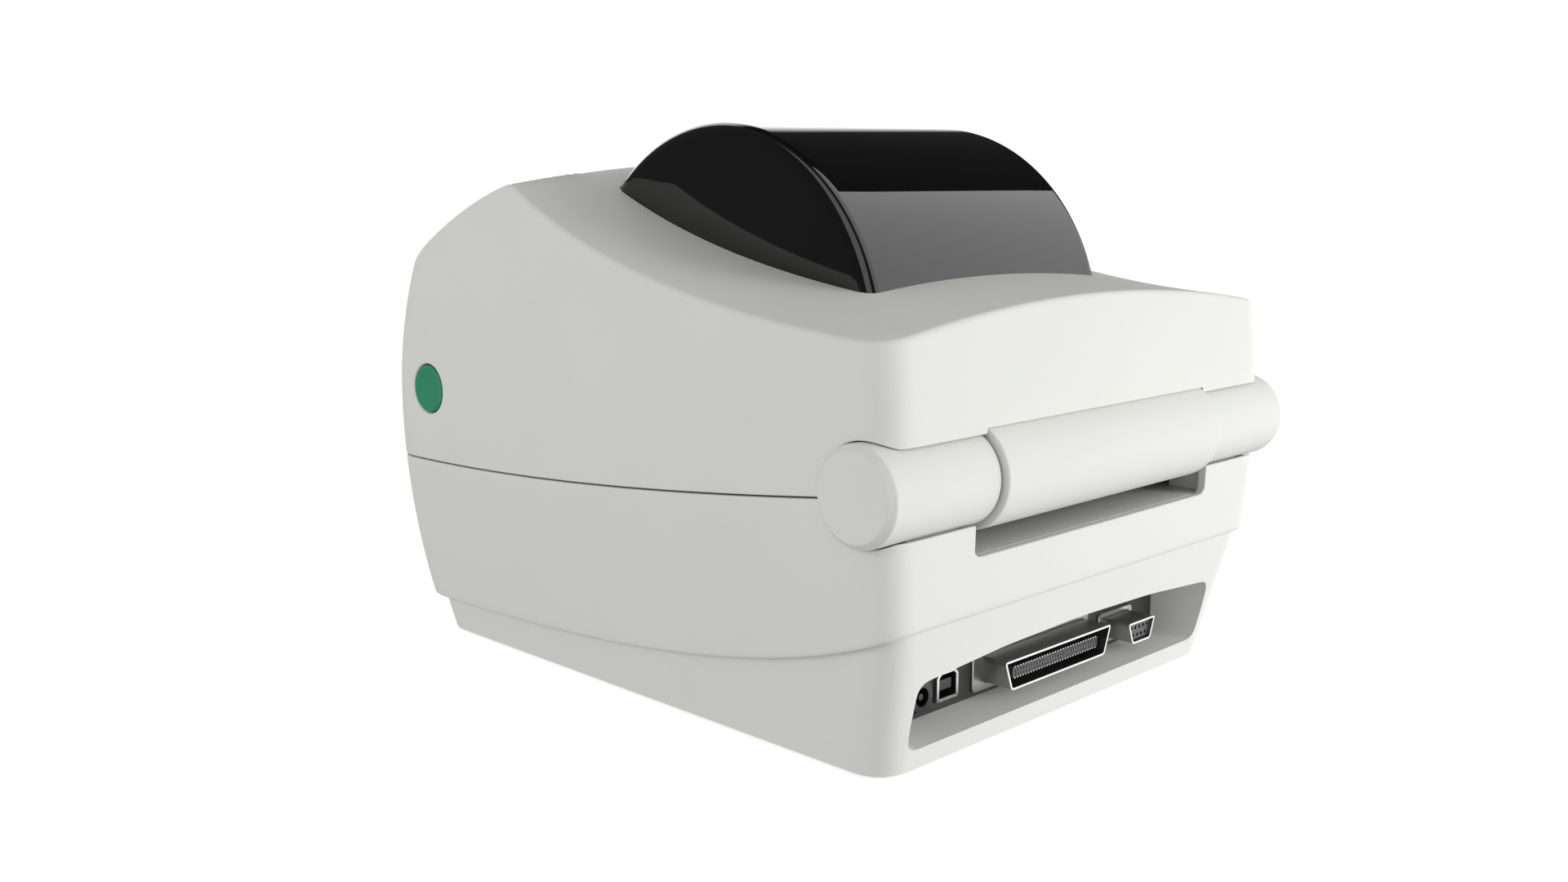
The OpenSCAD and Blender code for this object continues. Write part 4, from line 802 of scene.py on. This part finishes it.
class PRINTER_OT_buttons(bpy.types.Operator):
    """Feed button, status light and both release buttons: green, dished, with rounded rims"""

    bl_idname = "printer.buttons"
    bl_label = "Buttons"

    def execute(self, context):
        slope, out = slope_matrix(FEED_X)
        corners = frame["nodes"]["feed_button"].data.vertices
        top = max((Vector(v.co) / MM - slope.translation).dot(out) for v in corners)
        cap = [(0, top - 0.5), (3, top - 0.45), (5.4, top - 0.2), (6.1, top), (6.7, top - 0.15),
               (7, top - 0.6), (7, top - 5), (2.5, top - 5), (2.5, top - 5.8), (0, top - 5.8)]
        piece("feed_button_cap", placed(lathe(cap, 72), slope), "abs_satin_green", "feed_key", "feed_button")
        dome = [(0, top - 0.3), (1.2, top - 0.38), (1.75, top - 0.6), (2, top - 0.95), (2, top - 6.5),
                (0, top - 6.5)]
        piece("status_light_pipe", placed(lathe(dome, 48), slope_matrix(LIGHT_X)[0]),
              "acrylic_diffused_green", "cover", "status_light")
        y = (RELEASE_Y - 3, RELEASE_Y + 3)
        for side, word in ((-1, "left"), (1, "right")):
            node = "release_button_" + word
            reach = max(abs(corner.x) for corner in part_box(node)) / MM
            turn = (Matrix.Translation((0, RELEASE_Y, RELEASE_Z)) @ Matrix.Rotation(math.pi / 2, 4, "Y")
                    @ Matrix.Scale(side, 4, (0, 0, 1)))
            face = [(0, reach - 0.9), (3, reach - 0.82), (5.6, reach - 0.4), (6.7, reach - 0.05),
                    (7.2, reach), (7.7, reach - 0.15), (8.0, reach - 0.5), (8.1, reach - 1.1)]
            stem = [(8.1, reach - 7.9), (4, reach - 7.9), (4, 74), (3.6, 73.6), (0, 73.6)]
            disc = placed(lathe(face + stem, 80), turn)
            hook = box_part(sorted((84.5 * side, 87.5 * side)), y, (53.9, 83.1), 0.3)
            link = box_part(sorted((84.5 * side, 89 * side)), y, (81.2, 83.1), 0.2)
            nose = [(87.0, 57.4), (90.9, 57.4), (87.0, 53.9)]
            wedge = loft([[(side * px, py, pz) for px, pz in nose] for py in y], caps=True)
            piece("release_button_cap_" + word, joined(disc, hook, link, wedge), "abs_satin_green",
                  "release_" + word, node)
        return {"FINISHED"}


PARALLEL_X, PARALLEL_Z, SERIAL_X, SERIAL_Z, USB_X, USB_Z = -1, 16, -47, 14.6, 41, 15.2
PANEL_Y, CONTACT_PITCH = 88, 1.36


def d_outline(width, height, radius):
    """Outline of a D-shaped connector, wider at its top."""
    narrow = width / 2 - 0.36 * height
    return soft_outline([(-narrow, -height / 2), (narrow, -height / 2), (width / 2, height / 2),
                         (-width / 2, height / 2)], radius, 5)


def swept_outline(outline, profile, x, z):
    """Sweeps a closed profile of (outward offset, y) points along an outline that faces +Y."""
    rings = [[(x + px, y, z + pz) for px, pz in offset_outline(outline, d)] for d, y in profile]
    return loft(rings, close_along=True)


class PRINTER_OT_connectors(bpy.types.Operator):
    """Connector panel and sockets: plated shells with rolled rims, contacts, jack and rocker"""

    bl_idname = "printer.connectors"
    bl_label = "Connectors"

    def execute(self, context):
        refined("connector_panel", "polypropylene_moulded_grey", 0.25)
        for node in ("switch_housing", "power_jack", "parallel_port_insert"):
            refined(node, "polyester_moulded_black", 0.15)
        refined("serial_port_insert", "polyester_moulded_grey", 0.15)
        refined("power_rocker", "polyester_moulded_black", 0.3)
        corners = [(-4.9, -4.5), (4.9, -4.5), (4.9, 2.9), (3.3, 4.5), (-3.3, 4.5), (-4.9, 2.9)]
        rim = [(-1, 75), (-1, 89.1), (-0.9, 89.2), (-0.1, 89.2), (0, 89.1), (0, 75)]
        sleeve = swept_outline(soft_outline(corners, 0.5), rim, USB_X, USB_Z)
        can = box_part((USB_X - 4.9, USB_X + 4.9), (74, 76.5), (10.2, USB_Z + 4.5), 0.2)
        piece("usb_plated_shell", joined(sleeve, can), "nickel_plated_steel", "base", "usb_socket")
        liner = box_part((USB_X - 4.2, USB_X + 4.2), (76.4, 80), (USB_Z - 3.9, USB_Z + 3.9), 0.1)
        tongue = box_part((USB_X - 2.8, USB_X + 2.8), (79.8, 88.2), (USB_Z - 1.6, USB_Z + 1.6), 0.2)
        piece("usb_insert", joined(liner, tongue), "polyester_moulded_black", "base")
        tip = PANEL_Y + 11
        rolled = [(-0.65, PANEL_Y), (-0.65, tip - 0.1), (-0.58, tip), (0.02, tip), (0.1, tip - 0.1),
                  (0.1, tip - 0.6), (0.0, tip - 1.0), (0.0, PANEL_Y + 1.4), (0.35, PANEL_Y + 0.9),
                  (0.35, PANEL_Y)]
        for name, x, z, w, h, fw, fh in (("parallel_port", PARALLEL_X, PARALLEL_Z, 55.3, 9.2, 30, 6.8),
                                         ("serial_port", SERIAL_X, SERIAL_Z, 15.6, 7.2, 9.8, 5.3)):
            hole = d_outline(w, h, 1.2)
            flange = soft_outline([(-fw, -fh), (fw, -fh), (fw, fh), (-fw, fh)], 1.8, 5)
            plate = loft([[(x + px, y, z + pz) for px, pz in line] for line, y in (
                (hole, PANEL_Y), (flange, PANEL_Y), (flange, PANEL_Y + 0.7),
                (offset_outline(flange, -0.3), PANEL_Y + 1), (hole, PANEL_Y + 1))], close_along=True)
            piece(name + "_plated_shell", joined(swept_outline(hole, rolled, x, z), plate),
                  "nickel_plated_steel", "base", name + "_shell")
        places = [PARALLEL_X + (i - 15.5) * CONTACT_PITCH for i in range(32)]
        blade = piece("parallel_port_blade",
                      box_part((PARALLEL_X - 22.1, PARALLEL_X + 22.1), (PANEL_Y + 2.9, PANEL_Y + 9.6),
                               (PARALLEL_Z - 1.6, PARALLEL_Z + 1.6), 0.1), "polyester_moulded_grey", "base")
        pockets = [box_part((x - 0.4, x + 0.4), (PANEL_Y + 8, PANEL_Y + 11), (z - 0.4, z + 0.4), 0)
                   for x in places for z in (PARALLEL_Z - 0.75, PARALLEL_Z + 0.45)]
        cut(blade, [joined(*pockets)])
        contacts = [box_part((x - 0.25, x + 0.25), (PANEL_Y + 3.5, PANEL_Y + 9.7), (z - 0.2, z + 0.2), 0.05)
                    for x in places for z in (PARALLEL_Z - 1.7, PARALLEL_Z + 1.7)]
        piece("parallel_port_contacts", joined(*contacts), "nickel_plated_steel", "base")
        return {"FINISHED"}


CAD_FINISHES = {
    "abs_moulded_light_grey": ("media_tray",),
    "abs_moulded_charcoal": ("rack_cover", "media_guide_left", "media_guide_right", "roll_hub_left",
                             "roll_hub_right", "cover_frame"),
    "glass_epoxy_solder_masked": ("main_board", "button_board"),
    "polyester_moulded_black": ("board_components", "gap_sensor"),
    "zinc_plated_steel": ("case_screws", "board_screws", "hinge_pins", "hinge_end_screws", "stepper_motor",
                          "motor_screws", "latch_strikes", "tear_bar", "platen_shaft", "cover_screws",
                          "head_guide_pins", "head_springs", "latch_spring_left", "latch_spring_right"),
    "nickel_plated_steel": ("motor_bracket",),
    "brass_machined": ("platen_bearings", "motor_pinion"),
    "vinyl_extruded_grey": ("head_cable_lower", "head_cable_upper"),
    "silicone_rubber_ground": ("platen_roller",),
    "acetal_moulded_natural": ("platen_gear", "idler_gear", "guide_pinion", "printhead_plug"),
    "aluminium_anodised_clear": ("printhead_heatsink",),
    "alumina_glazed": ("printhead_strip",),
}
KEPT_AS_MADE = {"head_springs", "latch_spring_left", "latch_spring_right", "main_board", "button_board",
                "tear_bar"}
FINE_EDGES = {"platen_gear": 0.08, "idler_gear": 0.08, "motor_pinion": 0.05, "guide_pinion": 0.08,
              "platen_roller": 0.5, "platen_shaft": 0.3, "media_tray": 0.5, "printhead_strip": 0.2,
              "head_cable_lower": 0, "head_cable_upper": 0}


class PRINTER_OT_mechanism(bpy.types.Operator):
    """Chassis, drive, guides, print head and electronics: rounded edges and finishes on the CAD shapes"""

    bl_idname = "printer.mechanism"
    bl_label = "Mechanism"

    def execute(self, context):
        for finish_name, nodes in CAD_FINISHES.items():
            for node in nodes:
                if node in KEPT_AS_MADE:
                    kept = frame["nodes"][node]
                    kept.data.materials.clear()
                    kept.data.materials.append(FINISHES[finish_name])
                else:
                    levels = 2 if node.startswith("head_cable") else 0
                    refined(node, finish_name, FINE_EDGES.get(node, 0.3), levels)
        return {"FINISHED"}


CAMERA_PLACE, CAMERA_AIM, CAMERA_LENS = (0.37438, 0.35405, 0.16085), (-0.6981, -0.6950, -0.1721), 35


def soft_light(name, power, place, width, height):
    """A softbox that faces the printer and does not show in its gloss."""
    lamp = bpy.data.lights.new(name, "AREA")
    lamp.shape, lamp.size, lamp.size_y, lamp.energy = "RECTANGLE", width, height, power
    thing = bpy.data.objects.new(name, lamp)
    bpy.context.scene.collection.objects.link(thing)
    thing.location = place
    thing.rotation_euler = (Vector((0, 0, 0.08)) - Vector(place)).to_track_quat("-Z", "Z").to_euler()
    thing.visible_glossy = False


class PRINTER_OT_studio(bpy.types.Operator):
    """Studio: pale floor, softboxes, bright surround and the camera"""

    bl_idname = "printer.studio"
    bl_label = "Studio"

    def execute(self, context):
        scene, studio = context.scene, context.scene.printer_studio
        lens = bpy.data.cameras.new("camera")
        lens.lens, lens.sensor_width, lens.clip_start, lens.clip_end = CAMERA_LENS, 36, 0.01, 50
        camera = bpy.data.objects.new("camera", lens)
        scene.collection.objects.link(camera)
        camera.location = CAMERA_PLACE
        camera.rotation_euler = Vector(CAMERA_AIM).to_track_quat("-Z", "Y").to_euler()
        scene.camera = camera
        scene.view_settings.view_transform = "Standard"

        # Opal acrylic sheet, sanded and lit from below: a pale, even floor with soft shadows
        opal = finish("acrylic_opal_sanded", "stage", "#FBFBFA", "#F6F6F5", 3, (0.9, 0.95),
                      **{"Emission Color": (1, 1, 1, 1), "Emission Strength": studio.table})
        floor_mesh = bpy.data.meshes.new("studio_floor")
        rings = [[(r * math.cos(a), r * math.sin(a), 0) for a in (2 * math.pi * k / 64 for k in range(64))]
                 for r in (0.3, 1, 20)]
        verts, faces = loft(rings)
        floor_mesh.from_pydata(verts, [], faces + [tuple(range(64))])
        floor_mesh.materials.append(opal)
        floor = bpy.data.objects.new("studio_floor", floor_mesh)
        scene.collection.objects.link(floor)
        floor.visible_glossy = floor.visible_diffuse = False

        world = bpy.data.worlds.new("studio_surround")
        scene.world = world
        world.use_nodes = True
        tree = world.node_tree
        tree.nodes.clear()
        place = add_node(tree, "ShaderNodeTexCoord")
        axes = add_node(tree, "ShaderNodeSeparateXYZ", {}, {"Vector": place.outputs["Generated"]})
        x, y, z = (axes.outputs[axis] for axis in "XYZ")
        # Soft light: white round the horizon, dimmer overhead and from the floor
        upper = add_node(tree, "ShaderNodeMapRange",
                         {"To Min": studio.surround, "To Max": studio.surround * 0.38}, {"Value": z}).outputs[0]
        lower = add_node(tree, "ShaderNodeMapRange", {"From Min": -0.4, "From Max": 0, "To Min": 0.5},
                         {"Value": z}).outputs[0]
        even = add_node(tree, "ShaderNodeMath", {}, {0: upper, 1: lower}, operation="MULTIPLY").outputs[0]
        soft = add_node(tree, "ShaderNodeBackground", {"Color": (1, 1, 1, 1)}, {"Strength": even})
        # What polished surfaces mirror. Each card is a product of ramps from one direction to another.
        across = add_node(tree, "ShaderNodeMath", {}, {0: x, 1: y}, operation="SUBTRACT").outputs[0]
        cards = (
            # A grey card behind on the left, bright at its foot
            ((y, 0.038, 0.042, 0, 1), (x, -0.08, -0.1, 0, 1), (z, -0.06, -0.02, 2.6, 1.45)),
            # A pale card far in front
            ((y, -0.58, -0.66, 0, 1.7), (x, -0.08, -0.1, 0, 1)),
            # A strip beside the camera
            ((across, -0.46, -0.44, 0, 1), (across, 0.54, 0.56, 1, 0), (x, 0.2, 0.3, 0, 1.2)),
            # The dark room elsewhere
            ((x, -0.1, 0.1, 0.03, 0.11),),
        )
        level = None
        for ramps in cards:
            card = None
            for way, start, end, low, high in ramps:
                ramp = add_node(tree, "ShaderNodeMapRange",
                                {"From Min": start, "From Max": end, "To Min": low, "To Max": high},
                                {"Value": way}).outputs[0]
                card = ramp if card is None else add_node(tree, "ShaderNodeMath", {}, {0: card, 1: ramp},
                                                          operation="MULTIPLY").outputs[0]
            level = card if level is None else add_node(tree, "ShaderNodeMath", {}, {0: level, 1: card},
                                                        operation="MAXIMUM").outputs[0]
        mirrored = add_node(tree, "ShaderNodeBackground", {"Color": (1, 1, 1, 1)}, {"Strength": level})
        plain = add_node(tree, "ShaderNodeBackground", {"Color": (1, 1, 1, 1), "Strength": 1.1})
        seen = add_node(tree, "ShaderNodeLightPath")
        mixed = add_node(tree, "ShaderNodeMixShader", {},
                         {0: seen.outputs["Is Glossy Ray"], 1: soft.outputs[0], 2: mirrored.outputs[0]})
        mixed = add_node(tree, "ShaderNodeMixShader", {},
                         {0: seen.outputs["Is Camera Ray"], 1: mixed.outputs[0], 2: plain.outputs[0]})
        add_node(tree, "ShaderNodeOutputWorld", {}, {"Surface": mixed.outputs[0]})

        soft_light("rear_softbox", studio.key, (-0.9, 1.15, 0.2), 1.4, 0.5)
        soft_light("side_softbox", studio.side, (1.5, -0.2, 0.4), 1.0, 1.0)
        return {"FINISHED"}


STEPS = (PRINTER_OT_studio, PRINTER_OT_lower_case, PRINTER_OT_bottom_case, PRINTER_OT_top_cover,
         PRINTER_OT_roll_window, PRINTER_OT_hinge, PRINTER_OT_buttons, PRINTER_OT_connectors,
         PRINTER_OT_mechanism)


class PRINTER_PT_sidebar(bpy.types.Panel):
    """Lists the printer's sizes, colours and building steps"""

    bl_idname = "PRINTER_PT_sidebar"
    bl_label = "Thermal Label Printer"
    bl_space_type = "VIEW_3D"
    bl_region_type = "UI"
    bl_category = "Printer"

    def draw(self, context):
        for group in ("printer_sizes", "printer_colours", "printer_studio"):
            settings = getattr(context.scene, group)
            box = self.layout.box()
            for key in settings.__annotations__:
                box.prop(settings, key)
        for step in STEPS:
            self.layout.operator(step.bl_idname)


GROUPS = {"printer_sizes": PrinterSizes, "printer_colours": PrinterColours, "printer_studio": StudioSettings}


def register():
    for kind in (*GROUPS.values(), *STEPS, PRINTER_PT_sidebar):
        bpy.utils.register_class(kind)
    for name, kind in GROUPS.items():
        setattr(bpy.types.Scene, name, bpy.props.PointerProperty(type=kind))


def unregister():
    for name in GROUPS:
        delattr(bpy.types.Scene, name)
    for kind in reversed((*GROUPS.values(), *STEPS, PRINTER_PT_sidebar)):
        bpy.utils.unregister_class(kind)


def main():
    register()
    make_finishes(bpy.context.scene.printer_colours)
    for step in STEPS:
        group, name = step.bl_idname.split(".")
        getattr(getattr(bpy.ops, group), name)()


if __name__ == "__main__":
    main()
